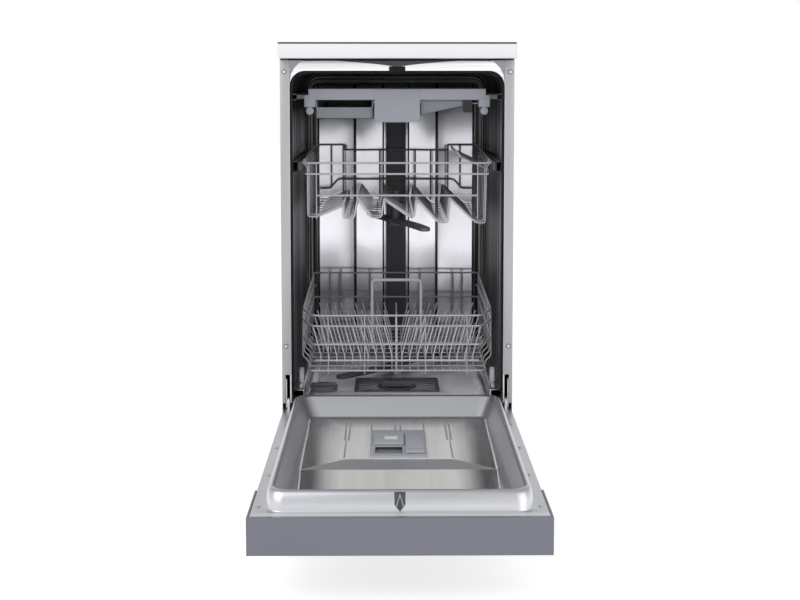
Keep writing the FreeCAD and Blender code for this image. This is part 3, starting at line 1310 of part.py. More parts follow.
def upper_basket():
    near = FRONT + D.upper_front
    far = FRONT + D.basket_rear
    sides = [(level, D.upper_bottom, D.upper_second, D.upper_top) for level in (D.well_left, D.well_right)]
    solids = rack_walls(D.upper_half, near, far, (D.upper_bottom, D.upper_second, D.upper_top),
                        (D.upper_bottom, D.upper_second, D.upper_back_top), sides)
    profile = floor_profile()
    front_ribbon = near + D.wire
    rear_ribbon = far - D.wire * 2
    solids += [floor_ribbon(profile, front_ribbon), floor_ribbon(profile, rear_ribbon)]
    solids += floor_strips(profile, (front_ribbon + D.wire, rear_ribbon))
    node(made("upper_basket", Part.makeCompound(solids)), "upper_basket")

    rails = [box(f"upper_rail_{side}", side_span(sign, D.upper_half, D.upper_half + D.rail_thickness),
                 (near, far), (D.rail_bottom, D.rail_bottom + D.rail_height)) for side, sign in SIDES]
    node(group("upper_rails", *rails), "upper_rails")


def feed_pipe():
    zero = as_size(0)
    hub_y = FRONT + D.upper_hub_place
    rear = FRONT + D.tub_rear - D.column_depth - D.dock_length - D.clearance
    pipe = cylinder("pipe_tube", "y", (zero, hub_y, D.pipe_height), D.pipe_radius, rear - hub_y)
    hub = cylinder("pipe_hub", "z", (zero, hub_y, D.upper_hub_shoulder), D.hub_radius,
                   D.pipe_height + D.pipe_radius - D.upper_hub_shoulder)
    pin = cylinder("pipe_pin", "z", (zero, hub_y, D.upper_hub_shoulder - D.hub_pin_length), D.hub_pin_radius,
                   D.hub_pin_length)
    clip_half = D.clip_width / 2
    clips = []
    for name, y in (("front", hub_y), ("rear", rear - D.clip_inset)):
        clips.append(box(f"pipe_clip_{name}", across(clip_half), (y - clip_half, y + clip_half),
                         (D.pipe_height, D.ridge_high)))
    node(fuse("feed_pipe", pipe, hub, pin, *clips), "feed_pipe")


def spray_arms():
    lower = (as_size(0), FRONT + D.hub_place, D.hub_top)
    spray_arm("lower_spray_arm", D.lower_arm_half, D.lower_arm_angle, lower, 1)
    upper = (as_size(0), FRONT + D.upper_hub_place, D.upper_hub_shoulder)
    spray_arm("upper_spray_arm", D.upper_arm_half, D.upper_arm_angle, upper, -1)


def shelf_axis():
    return (D.upper_half - D.wire - D.shelf_rod - D.clearance, D.shelf_height)


def cup_shelf():
    """A folding wire shelf that leans inwards from a rod along the right wall."""
    x, z = [size.value for size in shelf_axis()]
    near = (FRONT + D.shelf_front).value
    length = (D.shelf_rear - D.shelf_front).value
    bar = D.thin_wire.value
    width = D.shelf_width.value
    panel = grille(width, length, bar, (bar / 2, width / 2, width - bar / 2),
                   flush_wires(length, bar, D.wall_pitch.value))
    panel.translate(Vector(-width, 0, -bar / 2))
    panel.rotate(Vector(), Vector(0, 1, 0), D.shelf_angle.value)
    rod = Part.makeCylinder(D.shelf_rod.value, length, Vector(), Vector(0, 1, 0))
    shelf = panel.fuse(rod).removeSplitter()
    shelf.translate(Vector(x, near, z))
    node(made("cup_shelf", shelf), "cup_shelf")


def guides():
    """Channels on the tub walls in which the racks' runners slide."""
    channels = []
    runners = (
        ("basket", D.rail_bottom, D.rail_height),
        ("tray", D.tray_runner_bottom, D.tray_runner_height),
    )
    y = deep(D.guide_front, D.guide_rear)
    for name, bottom, height in runners:
        low = bottom - D.clearance
        high = bottom + height + D.clearance
        for side, sign in SIDES:
            reach = side_span(sign, D.tub_half - D.guide_reach, D.tub_half)
            web = side_span(sign, D.tub_half - D.guide_web, D.tub_half)
            pieces = (
                box(f"guide_{name}_{side}_web", web, y, (low - D.guide_web, high + D.guide_web)),
                box(f"guide_{name}_{side}_low", reach, y, (low - D.guide_web, low)),
                box(f"guide_{name}_{side}_high", reach, y, (high, high + D.guide_web)),
            )
            channels.append(fuse(f"guide_{name}_{side}", *pieces))
    node(group("rack_guides", *channels), "rack_guides")


AXLE_HEIGHT = D.ledge_top + D.wheel_lift + D.wheel_radius
LOWER_FLOOR_TOP = D.lower_floor + D.wire


def wheel_places():
    for end, depth in (("front", D.wheel_front), ("rear", D.wheel_rear)):
        for side, sign in SIDES:
            yield f"{end}_{side}", sign, FRONT + depth


def comb(height):
    """A row of upright tines on a base wire."""
    bar = D.thin_wire.value
    width = D.tine_half.value * 2
    row = grille(width, height.value, bar, flush_wires(width, bar, D.tine_pitch.value), (bar / 2,))
    return row


def lower_basket():
    near = FRONT + D.lower_front
    far = FRONT + D.basket_rear
    wire = D.wire
    levels = (D.lower_floor, D.lower_third, D.lower_second, D.lower_top)
    solids = rack_walls(D.lower_half, near, far, levels, (D.lower_floor, D.lower_back_second, D.lower_back_top),
                        (levels, levels))
    inner = D.lower_half - wire
    width = inner.value * 2
    length = (far - near - wire * 2).value
    floor_rows = flush_wires(length, wire.value, D.wall_pitch.value)
    floor = grille(width, length, wire.value, flush_wires(width, wire.value, D.wall_pitch.value), floor_rows)
    solids.append(placed(floor, (-inner, near + wire, D.lower_floor)))

    handle_width = D.handle_half.value * 2
    handle_height = (D.handle_top - LOWER_FLOOR_TOP).value
    bar = wire.value
    handle_legs = (bar / 2, handle_width - bar / 2)
    handle = grille(handle_width, handle_height, bar, handle_legs, (handle_height - bar / 2,))
    wanted = (D.handle_place - D.lower_front - wire).value
    handle_row = min(floor_rows, key=lambda row: abs(row - wanted))
    handle_y = near + wire + handle_row + wire / 2
    solids.append(placed(handle, (-D.handle_half, handle_y, LOWER_FLOOR_TOP), UPRIGHT_ACROSS))
    for depth in (D.tine_fixed_front, D.tine_fixed_rear):
        corner = (-D.tine_half, FRONT + depth, LOWER_FLOOR_TOP)
        solids.append(placed(comb(D.tine_height), corner, UPRIGHT_ACROSS))

    for _, sign, y in wheel_places():
        face = D.wheel_inner - D.clearance
        half = D.axle_bracket_half
        plate = plain_box(side_span(sign, face - D.axle_bracket, face), (y - half, y + half),
                          (AXLE_HEIGHT - half, D.lower_floor))
        axle = Part.makeCylinder(D.axle_radius.value, (D.clearance * 2 + D.wheel_width).value,
                                 Vector((face * sign).value, y.value, AXLE_HEIGHT.value), Vector(sign, 0, 0))
        solids.append(plate.fuse(axle).removeSplitter())
    node(made("lower_basket", Part.makeCompound(solids)), "lower_basket")


def basket_wheels():
    for name, sign, y in wheel_places():
        x = side_span(sign, D.wheel_inner, D.wheel_inner + D.wheel_width)
        disc = cylinder(f"{name}_disc", "x", (x[0], y, AXLE_HEIGHT), D.wheel_radius, D.wheel_width)
        bore = cylinder(f"{name}_axle_bore", "x", (x[0] - D.wheel_width, y, AXLE_HEIGHT),
                        D.axle_radius + D.running_fit, D.wheel_width * 3)
        node(cut(f"{name}_wheel", disc, bore), f"{name}_wheel")


def folding_tines():
    """Two tine rows that turn on a rod just above the basket floor."""
    rod_radius = D.tine_rod
    for name, depth in (("front", D.tine_fold_front), ("rear", D.tine_fold_rear)):
        axis = Vector(0, (FRONT + depth).value, (LOWER_FLOOR_TOP + D.clearance + rod_radius).value)
        half = D.tine_half.value
        row = comb(D.tine_height)
        row.Placement = Placement(axis + Vector(-half, D.thin_wire.value / 2, 0), UPRIGHT_ACROSS)
        rod = Part.makeCylinder(rod_radius.value, half * 2, axis - Vector(half, 0, 0), Vector(1, 0, 0))
        node(made(f"{name}_tine_row", row.fuse(rod).removeSplitter()), f"{name}_tine_row")


def cutlery_tray():
    wall = D.tray_wall
    near = FRONT + D.tray_front
    far = FRONT + D.tray_rear
    deck_top = D.tray_rim + wall
    rim = box("tray_rim_blank", across(D.tray_half), (near, far), (D.tray_rim, D.tray_top))
    inside = box("tray_inside", across(D.tray_half - wall), (near + wall, far - wall),
                 (deck_top, D.tray_top + wall))
    pans = []
    spaces = []
    pan_floors = (D.tray_left_floor, D.tray_right_floor)
    for (side, sign), bottom in zip(SIDES, pan_floors):
        pans.append(box(f"tray_pan_{side}", side_span(sign, D.tray_middle, D.tray_outer), (near, far),
                        (bottom, deck_top)))
        spaces.append(box(f"tray_space_{side}", side_span(sign, D.tray_middle + wall, D.tray_outer - wall),
                          (near + wall, far - wall), (bottom + wall, D.tray_top + wall)))
    plate = box("tray_handle", across(D.tray_handle_half), (near, near + wall),
                (D.tray_handle_bottom, D.tray_top))
    reach = D.tub_half - D.guide_reach + D.guide_web
    runners = [box(f"tray_runner_{side}", side_span(sign, D.tray_half, reach), (near + wall, far),
                   (D.tray_runner_bottom, D.tray_runner_bottom + D.tray_runner_height)) for side, sign in SIDES]
    blank = fuse("tray_blank", rim, *pans)
    hollowed = cut("tray_hollowed", blank, inside, *spaces)
    node(fuse("cutlery_tray", hollowed, plate, *runners), "cutlery_tray")


def build():
    worktop()
    side_panels()
    rear_closures()
    base()
    feet()
    cabinet_screws()
    tub()
    tub_floor()
    door_seal()
    latch_strike()
    spray_column()
    sump()
    filters()
    softener()
    rear_ports()
    door_liner()
    door_outer_panel()
    console()
    hinges()
    latch_plate()
    door_screws()
    dispenser()
    guides()
    upper_basket()
    feed_pipe()
    cup_shelf()
    spray_arms()
    lower_basket()
    basket_wheels()
    folding_tines()
    cutlery_tray()


def check_and_export():
    DOC.recompute()
    for item in DOC.Objects:
        if "Invalid" in item.State or "Error" in item.State:
            raise RuntimeError(f"{item.Label} did not build: {item.State}")
    for item in NODES:
        shape = item.Shape
        if shape.isNull() or not shape.isValid() or not shape.Solids:
            raise RuntimeError(f"{item.Label} has no valid solid")
    os.makedirs("parts", exist_ok=True)
    for item in NODES:
        item.Shape.exportStep(f"parts/{item.Label}.step")
        print(f"{item.Label}: {len(item.Shape.Solids)} solid(s), {item.Shape.Volume / 1000:.1f} cm3")


build()
check_and_export()
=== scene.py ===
"""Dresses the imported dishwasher: pressed steel, moulded plastic, bent wire baskets, stage and camera."""

import json
import math
from contextlib import contextmanager

import bmesh
import bpy
from mathutils import Matrix, Vector


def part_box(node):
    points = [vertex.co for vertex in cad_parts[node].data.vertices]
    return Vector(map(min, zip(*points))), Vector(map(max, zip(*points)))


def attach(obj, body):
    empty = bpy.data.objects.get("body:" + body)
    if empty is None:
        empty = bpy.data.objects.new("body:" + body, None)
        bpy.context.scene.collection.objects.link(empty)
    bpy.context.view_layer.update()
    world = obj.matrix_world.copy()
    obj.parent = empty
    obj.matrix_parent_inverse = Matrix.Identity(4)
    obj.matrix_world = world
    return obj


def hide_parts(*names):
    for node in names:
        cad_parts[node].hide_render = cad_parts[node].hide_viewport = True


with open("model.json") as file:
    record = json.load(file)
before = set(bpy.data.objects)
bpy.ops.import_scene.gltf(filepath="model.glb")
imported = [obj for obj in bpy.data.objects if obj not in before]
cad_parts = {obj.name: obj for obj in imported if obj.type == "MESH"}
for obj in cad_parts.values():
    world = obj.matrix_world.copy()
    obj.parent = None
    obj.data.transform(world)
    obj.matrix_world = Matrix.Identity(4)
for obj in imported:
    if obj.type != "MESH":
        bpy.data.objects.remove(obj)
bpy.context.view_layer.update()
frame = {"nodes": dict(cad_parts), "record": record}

bl_info = {
    "name": "Dishwasher dresser",
    "version": (1, 0, 0),
    "blender": (4, 5, 0),
    "location": "View3D > Sidebar > Dishwasher",
    "description": "Builds the visible pieces of a slimline dishwasher round its packed frame",
    "category": "Object",
}

MM = 0.001
FLANGE_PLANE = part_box("left_side_panel")[0].y / MM
BODY_OF = {node: body for body, nodes in frame["record"]["behaviour"]["bodies"].items() for node in nodes}
SIDES = (-1, 1)
UP, AHEAD, BACK = Vector((0, 0, 1)), Vector((0, -1, 0)), Vector((0, 1, 0))
LATHE_SIDES = 40
# Radii of the standing wires beside the frame wire's, and of the tines beside the mesh wire's
STANDING_SHARE, TINE_SHARE = 0.85, 1.15


def length_property(label, description, millimetres):
    return bpy.props.FloatProperty(
        name=label, description=description, default=millimetres * MM, unit="LENGTH", subtype="DISTANCE")


class DishwasherSizes(bpy.types.PropertyGroup):
    """Sizes of the wires, their bends and the tub's cove."""

    frame_wire: length_property("Frame wire", "Radius of the baskets' frame wires", 2.0)
    mesh_wire: length_property("Mesh wire", "Radius of the wires between the frames", 1.2)
    wire_bend: length_property("Wire bend", "Bend radius of a frame wire", 14)
    grip_wire: length_property("Grip wire", "Radius of the lower basket's lifting grip", 3.2)
    cove_depth: length_property("Cove depth", "Radius of the tub's rounded rear corners", 21)
    tine_lean: bpy.props.FloatProperty(
        name="Tine lean", description="Lean of the plate tines", default=math.radians(13),
        unit="ROTATION", subtype="ANGLE")


def colour_property(label, default):
    return bpy.props.FloatVectorProperty(
        name=label, description=f"{label} colour", default=default, size=3, min=0, max=1, subtype="COLOR")


class DishwasherColours(bpy.types.PropertyGroup):
    """Base colours of the finishes."""

    worktop_board: colour_property("Worktop board", (0.94, 0.94, 0.96))
    worktop_laminate: colour_property("Worktop laminate", (0.06, 0.06, 0.065))
    cabinet_paint: colour_property("Cabinet lacquer", (0.49, 0.49, 0.515))
    zinc_sheet: colour_property("Galvanised sheet", (0.42, 0.43, 0.44))
    tub_steel: colour_property("Tub steel", (0.84, 0.84, 0.86))
    tub_back: colour_property("Tub back", (0.78, 0.785, 0.83))
    tub_floor: colour_property("Tub floor", (0.96, 0.96, 0.97))
    # Near-black painted shade for the tub's walls and cove, and the bright colours of their painted
    # reflection streaks
    tub_wall: colour_property("Tub wall", (0.006, 0.006, 0.007))
    tub_shine: colour_property("Tub cove painted reflection", (0.70, 0.70, 0.72))
    tub_streak: colour_property("Tub wall painted reflection", (0.40, 0.40, 0.42))
    door_steel: colour_property("Door steel", (0.69, 0.70, 0.74))
    dish_steel: colour_property("Dish floor", (0.93, 0.915, 0.90))
    seal_rubber: colour_property("Seal rubber", (0.006, 0.006, 0.0065))
    dark_plastic: colour_property("Dark plastic", (0.070, 0.073, 0.080))
    black_plastic: colour_property("Black plastic", (0.026, 0.027, 0.030))
    # Darker steels of painted shade for the catch fairing and the frame's corners
    fairing_steel: colour_property("Catch fairing", (0.15, 0.15, 0.17))
    frame_steel: colour_property("Frame corners", (0.30, 0.30, 0.335))
    # A lighter copy of the dark plastic: painted light on the shaded spray column, salt cap and upper arm
    arm_plastic: colour_property("Upper arm", (0.115, 0.12, 0.13))
    grey_plastic: colour_property("Grey plastic", (0.34, 0.355, 0.40))
    dispenser_plastic: colour_property("Dispenser plastic", (0.45, 0.465, 0.51))
    # A darker copy of the grey plastic: painted shade on the tray's pans
    pan_plastic: colour_property("Tray pans", (0.22, 0.23, 0.26))
    console_paint: colour_property("Console", (0.19, 0.195, 0.238))
    # A darker plastic of painted shade, on the grey rack rails and round the cabinet's screws
    rail_plastic: colour_property("Rack rails", (0.10, 0.104, 0.11))
    wheel_plastic: colour_property("Rack wheels", (0.84, 0.84, 0.85))
    base_plastic: colour_property("Base plastic", (0.035, 0.035, 0.038))
    coated_wire: colour_property("Basket wire", (0.55, 0.555, 0.58))
    # A darker copy of the basket wire: painted shade on the floor waves, back rails and uprights
    shaded_wire: colour_property("Basket wave wire", (0.27, 0.275, 0.29))
    # A lighter copy of the basket wire: painted highlight on the tine rows
    tine_wire: colour_property("Tine wire", (0.86, 0.865, 0.89))
    window_glass: colour_property("Display window", (0.008, 0.008, 0.01))
    board_green: colour_property("Circuit board", (0.03, 0.14, 0.06))
    pump_metal: colour_property("Pump housing", (0.42, 0.42, 0.43))
    zinc_steel: colour_property("Zinc plate", (0.66, 0.66, 0.65))
    label_white: colour_property("Blank label", (0.82, 0.82, 0.82))


# Shader helpers

SOCKET_KINDS = {"Vector": "NodeSocketVector", "Stretch": "NodeSocketVector", "Color": "NodeSocketColor"}
ORIGIN = (0, 0, 0)
WHITE = (1, 1, 1, 1)
SETTLED_DUST = (0.55, 0.54, 0.52, 1)
COPPER = (0.30, 0.22, 0.08, 1)
ALONG_X = (8.0, 900.0, 900.0)
UPRIGHT = (420.0, 420.0, 2.2)
GROUPS = {}
FINISHES = {}


def set_inputs(tree, node, inputs):
    """Links a node's inputs where a socket is given and sets them otherwise."""
    for key, value in inputs.items():
        if isinstance(value, bpy.types.NodeSocket):
            tree.links.new(value, node.inputs[key])
        else:
            node.inputs[key].default_value = value


def add_node(tree, kind, inputs=None, **settings):
    made = tree.nodes.new(kind)
    for name, value in settings.items():
        setattr(made, name, value)
    set_inputs(tree, made, inputs or {})
    return made


def maths(tree, kind, *values, clamp=False):
    made = add_node(tree, "ShaderNodeMath", dict(enumerate(values)), operation=kind, use_clamp=clamp)
    return made.outputs[0]


def times(tree, vector, by):
    return add_node(tree, "ShaderNodeVectorMath", {0: vector, 1: by}, operation="MULTIPLY").outputs[0]


def along(tree, vector, axis):
    """One axis of a vector."""
    return add_node(tree, "ShaderNodeSeparateXYZ", {0: vector}).outputs[axis]


def noise(tree, vector, scale, detail):
    inputs = {"Vector": vector, "Scale": scale, "Detail": detail}
    return add_node(tree, "ShaderNodeTexNoise", inputs).outputs["Fac"]


def blend(tree, share, first, second):
    inputs = {"Factor": share, "A": first, "B": second}
    return add_node(tree, "ShaderNodeMix", inputs, data_type="RGBA").outputs["Result"]


def ramp(tree, value, start, stop, low=0.0, high=1.0, **settings):
    inputs = {"Value": value, "From Min": start, "From Max": stop, "To Min": low, "To Max": high}
    return add_node(tree, "ShaderNodeMapRange", inputs, **settings).outputs["Result"]


def effect_group(name, inputs, outputs):
    """An empty shader group, its input sockets and its end; inputs gives their labels and defaults."""
    tree = bpy.data.node_groups.new(name, "ShaderNodeTree")
    for label, default in inputs.items():
        kind = SOCKET_KINDS.get(label, "NodeSocketFloat")
        tree.interface.new_socket(name=label, in_out="INPUT", socket_type=kind).default_value = default
    for label in outputs:
        kind = SOCKET_KINDS.get(label, "NodeSocketFloat")
        tree.interface.new_socket(name=label, in_out="OUTPUT", socket_type=kind)
    return tree, tree.nodes.new("NodeGroupInput").outputs, tree.nodes.new("NodeGroupOutput")


def grain_group():
    """Fine grain that stirs the roughness and gives a bump height."""
    inputs = {"Vector": ORIGIN, "Scale": 900.0, "Roughness": 0.4, "Spread": 0.1}
    tree, given, end = effect_group("surface_grain", inputs, ("Roughness", "Height"))
    grain = noise(tree, given["Vector"], given["Scale"], 3.0)
    smudge = noise(tree, given["Vector"], 14.0, 2.0)
    both = maths(tree, "SUBTRACT", maths(tree, "ADD", grain, smudge), 1.0)
    swing = maths(tree, "MULTIPLY", both, given["Spread"])
    rough = maths(tree, "ADD", given["Roughness"], swing, clamp=True)
    set_inputs(tree, end, {"Roughness": rough, "Height": grain})
    return tree


def tone_group():
    """Slow drift of a colour, with a little settled dust on faces that look up."""
    inputs = {"Vector": ORIGIN, "Color": WHITE, "Scale": 6.0, "Amount": 0.1, "Dust": 0.03}
    tree, given, end = effect_group("tone_drift", inputs, ("Color",))
    cloud = noise(tree, given["Vector"], given["Scale"], 4.0)
    drift = maths(tree, "MULTIPLY", maths(tree, "SUBTRACT", cloud, 0.5), given["Amount"])
    gain = maths(tree, "ADD", 1.0, maths(tree, "MULTIPLY", drift, 2.0))
    normal = add_node(tree, "ShaderNodeNewGeometry").outputs["Normal"]
    lying = maths(tree, "MULTIPLY", along(tree, normal, "Z"), cloud, clamp=True)
    dust = maths(tree, "MULTIPLY", lying, given["Dust"])
    set_inputs(tree, end, {"Color": blend(tree, dust, times(tree, given["Color"], gain), SETTLED_DUST)})
    return tree


def brush_group():
    """Long brushed lines, from noise that is stretched along one way."""
    inputs = {"Vector": ORIGIN, "Stretch": (600.0, 6.0, 6.0)}
    tree, given, end = effect_group("brush_lines", inputs, ("Lines", "Bands"))
    pulled = times(tree, given["Vector"], given["Stretch"])
    wide = times(tree, pulled, (0.12, 0.12, 0.12))
    set_inputs(tree, end, {"Lines": noise(tree, pulled, 1.0, 4.0), "Bands": noise(tree, wide, 1.0, 3.0)})
    return tree


def use_group(tree, name, **inputs):
    return add_node(tree, "ShaderNodeGroup", inputs, node_tree=GROUPS[name]).outputs


def shader_start(name, metallic=0.0, **sockets):
    """A material with its shader and the Object coordinates that its patterns read."""
    material = bpy.data.materials.new(name)
    material.use_nodes = True
    tree = material.node_tree
    shader = tree.nodes["Principled BSDF"]
    named = {key.replace("_", " "): value for key, value in sockets.items()}
    set_inputs(tree, shader, {"Metallic": metallic, **named})
    return material, tree, shader, add_node(tree, "ShaderNodeTexCoord").outputs["Object"]


def dress(tree, shader, colour, rough, height, strength, distance):
    """Gives a shader its colour, its roughness and its bump."""
    bump = add_node(tree, "ShaderNodeBump", {"Strength": strength, "Distance": distance, "Height": height})
    set_inputs(tree, shader, {"Base Color": colour, "Roughness": rough, "Normal": bump.outputs["Normal"]})


def moulded(name, colour, rough, grain=1400.0, depth=0.0002, drift=0.06, dust=0.03, metallic=0.0, **sockets):
    """Moulded plastic, rubber or lacquer: drifting tone, fine grain, uneven gloss."""
    material, tree, shader, place = shader_start(name, metallic, **sockets)
    tone = use_group(tree, "tone_drift", Vector=place, Color=(*colour, 1), Amount=drift, Dust=dust)
    fine = use_group(tree, "surface_grain", Vector=place, Scale=grain, Roughness=rough, Spread=0.12)
    dress(tree, shader, tone["Color"], fine["Roughness"], fine["Height"], 0.25, depth)
    return material


def brushed(name, colour, rough, stretch=ALONG_X, spread=0.03, contrast=0.02, metallic=1.0, ribs=None,
            polish=()):
    """Brushed sheet steel, with painted shade on ribs in front of a depth.

    Its satin turns bright along each ramp of polish: an axis, a start and a stop. X counts from the middle.
    """
    material, tree, shader, place = shader_start(name, metallic)
    edges = []
    for axis, start, stop in polish:
        value = along(tree, place, axis)
        if axis == "X":
            value = maths(tree, "ABSOLUTE", value)
        edges.append(ramp(tree, value, start, stop, metallic))
    if edges:
        set_inputs(tree, shader, {"Metallic": maths(tree, "MAXIMUM", edges[0], edges[-1])})
    lines = use_group(tree, "brush_lines", Vector=place, Stretch=stretch)
    tone = use_group(tree, "tone_drift", Vector=place, Color=(*colour, 1), Scale=3.0, Amount=0.05, Dust=0.0)
    both = maths(tree, "SUBTRACT", maths(tree, "ADD", lines["Lines"], lines["Bands"]), 1.0)
    gain = maths(tree, "ADD", 1.0, maths(tree, "MULTIPLY", both, contrast * 2))
    # Painted shade: the crests of ribs in front of the depth turn nearly black
    if ribs is not None:
        painted_crest_shade = maths(tree, "LESS_THAN", along(tree, place, "Y"), ribs)
        gain = maths(tree, "MULTIPLY", gain, maths(tree, "MULTIPLY_ADD", painted_crest_shade, -0.92, 1.0))
    swing = maths(tree, "MULTIPLY", maths(tree, "SUBTRACT", lines["Lines"], 0.5), spread * 2)
    rough = maths(tree, "ADD", rough, swing, clamp=True)
    dress(tree, shader, times(tree, tone["Color"], gain), rough, lines["Lines"], 0.12, 0.0002)
    return material


def painted_shade_and_reflection(name, colour, bright, stretch, start=0.50):
    """Tub wall sheet in near-black painted shade, with long bright streaks of painted reflection."""
    material, tree, shader, place = shader_start(name, Specular_IOR_Level=0.12)
    lines = use_group(tree, "brush_lines", Vector=place, Stretch=stretch)
    # Painted reflection: bright bands laid over the painted shade
    streak = ramp(tree, lines["Bands"], start, start + 0.16, interpolation_type="SMOOTHSTEP")
    tone = blend(tree, streak, (*colour, 1), (*bright, 1))
    drift = use_group(tree, "tone_drift", Vector=place, Color=tone, Scale=5.0, Amount=0.3, Dust=0.0)
    rough = maths(tree, "MULTIPLY_ADD", lines["Lines"], 0.2, 0.35)
    dress(tree, shader, drift["Color"], rough, lines["Lines"], 0.15, 0.0003)
    return material


def spangled(name, colour):
    """Galvanised sheet with its crystal spangle."""
    material, tree, shader, place = shader_start(name, 0.85)
    crystals = add_node(tree, "ShaderNodeTexVoronoi", {"Vector": place, "Scale": 70.0})
    tone = use_group(tree, "tone_drift", Vector=place, Color=(*colour, 1), Scale=8.0, Amount=0.1, Dust=0.02)
    spread = add_node(tree, "ShaderNodeSeparateColor", {0: crystals.outputs["Color"]}).outputs[0]
    gain = maths(tree, "MULTIPLY_ADD", spread, 0.35, 0.82)
    rough = maths(tree, "MULTIPLY_ADD", spread, 0.16, 0.36)
    dress(tree, shader, times(tree, tone["Color"], gain), rough, spread, 0.08, 0.0003)
    return material


def circuit(name, colour):
    """Circuit board: lacquer over copper tracks."""
    material, tree, shader, place = shader_start(name)
    darker = (*[c * 0.7 for c in colour], 1)
    tracks = add_node(tree, "ShaderNodeTexBrick", {
        "Vector": place, "Scale": 220.0, "Mortar Size": 0.06, "Color1": (*colour, 1), "Color2": darker,
        "Mortar": COPPER}).outputs
    tone = use_group(tree, "tone_drift", Vector=place, Color=tracks["Color"], Amount=0.08, Dust=0.03)
    fine = use_group(tree, "surface_grain", Vector=place, Scale=900.0, Roughness=0.35, Spread=0.1)
    dress(tree, shader, tone["Color"], fine["Roughness"], tracks["Fac"], 0.2, 0.0003)
    return material


MOULDED = {
    "worktop_board": dict(rough=0.34, grain=700.0, drift=0.02),
    "worktop_laminate": dict(rough=0.38, grain=500.0, depth=0.0004, drift=0.25),
    "cabinet_paint": dict(rough=0.36, grain=2200.0, metallic=0.35, drift=0.03),
    "console_paint": dict(rough=0.34, grain=2200.0, metallic=0.25, drift=0.04),
    "seal_rubber": dict(rough=0.55, grain=800.0, depth=0.0004, dust=0.01, Specular_IOR_Level=0.25),
    "dark_plastic": dict(rough=0.42),
    "black_plastic": dict(rough=0.46, Specular_IOR_Level=0.3),
    "arm_plastic": dict(rough=0.42),
    "grey_plastic": dict(rough=0.44),
    "pan_plastic": dict(rough=0.44),
    "rail_plastic": dict(rough=0.40),
    "wheel_plastic": dict(rough=0.45),
    "dispenser_plastic": dict(rough=0.40),
    "base_plastic": dict(rough=0.52),
    "coated_wire": dict(rough=0.30, grain=900.0, metallic=0.35, drift=0.12),
    "shaded_wire": dict(rough=0.30, grain=900.0, metallic=0.35, drift=0.12),
    "tine_wire": dict(rough=0.28, grain=900.0, metallic=0.35, drift=0.08),
    "window_glass": dict(rough=0.10, grain=300.0, depth=0.00004, drift=0.02, Coat_Weight=0.6),
    "pump_metal": dict(rough=0.42, grain=420.0, depth=0.0006, metallic=0.9, drift=0.14),
    "label_white": dict(rough=0.55, grain=500.0),
}
COARSE = dict(spread=0.10, contrast=0.25)
BRUSHED = {
    "tub_steel": dict(rough=0.30, **COARSE),
    # The back's rib crests carry painted shade
    "tub_back": dict(rough=0.17, stretch=UPRIGHT, spread=0.04, contrast=0.03,
                     ribs=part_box("tub_back_panel")[0].y + 0.6 * MM),
    "tub_floor": dict(rough=0.18, metallic=0.06, polish=(("X", 0.158, 0.176),)),
    "fairing_steel": dict(rough=0.30, **COARSE),
    "door_steel": dict(rough=0.34, metallic=0.1, polish=(("Y", -0.574, -0.570),)),
    "band_steel": dict(rough=0.34, metallic=0.76),
    "dish_steel": dict(rough=0.20, stretch=(150.0, 3.0, 3.0), contrast=0.10, metallic=0.16,
                       polish=(("X", 0.094, 0.138), ("Y", -0.075, -0.005))),
    "bead_steel": dict(rough=0.24, metallic=0.2),
    "frame_steel": dict(rough=0.28),
    "zinc_steel": dict(rough=0.34, stretch=(300.0, 300.0, 300.0), **COARSE),
}


def make_finishes(colours):
    """All the part's materials by name."""
    GROUPS.update(surface_grain=grain_group(), tone_drift=tone_group(), brush_lines=brush_group())
    c = {name: tuple(getattr(colours, name)) for name in DishwasherColours.__annotations__}
    c.update(band_steel=c["door_steel"], bead_steel=c["dish_steel"])
    for make, looks in ((moulded, MOULDED), (brushed, BRUSHED)):
        for name, look in looks.items():
            FINISHES[name] = make(name, c[name], **look)
    FINISHES.update(
        zinc_sheet=spangled("zinc_sheet", c["zinc_sheet"]),
        # The tub's walls and cove: painted shade with streaks of painted reflection
        tub_wall=painted_shade_and_reflection("tub_wall", c["tub_wall"], c["tub_streak"], (3.0, 640.0, 7.0)),
        tub_cove=painted_shade_and_reflection("tub_cove", c["tub_wall"], c["tub_shine"], (3.0, 2300.0, 3.0), 0.47),
        board_green=circuit("board_green", c["board_green"]),
    )


# Mesh helpers

def at(x, y, z):
    """A place from millimetres across, behind the cabinet's flanges, and up."""
    return Vector((x, y + FLANGE_PLANE, z)) * MM


def run(*points):
    """Places along a line, in millimetres."""
    return [at(*point) for point in points]


def both_sides(*points):
    """The left half of a line, in millimetres, and on from there its mirror image."""
    left = run(*points)
    return left + [Vector((-p.x, p.y, p.z)) for p in reversed(left)]


def cross(depth, points):
    """Places at one depth, from millimetres across and up."""
    return [at(x, depth, z) for x, z in points]


def even(first, last, count):
    """Evenly spaced numbers with both ends."""
    return [first + (last - first) * step / (count - 1) for step in range(count)]


def vertices(geometry):
    return [g for g in geometry if isinstance(g, bmesh.types.BMVert)]


def round_edges(bm, edges, radius, segments=2):
    if radius > 0 and edges:
        bmesh.ops.bevel(bm, geom=edges, offset=radius, offset_type="OFFSET", affect="EDGES",
                        segments=segments, profile=0.5, material=-1, clamp_overlap=True)


def sharp_edges(bm, least=40):
    return [e for e in bm.edges if e.is_manifold and e.calc_face_angle(0) > math.radians(least)]


def block(bm, low, high, radius=0.8, segments=2):
    """A box between two corners in millimetres, with rounded edges."""
    a, b = at(*low), at(*high)
    place = Matrix.Translation((a + b) / 2) @ Matrix.Diagonal((*(b - a), 1))
    verts = bmesh.ops.create_cube(bm, size=1.0, matrix=place)["verts"]
    round_edges(bm, list({e for v in verts for e in v.link_edges}), radius * MM, segments)


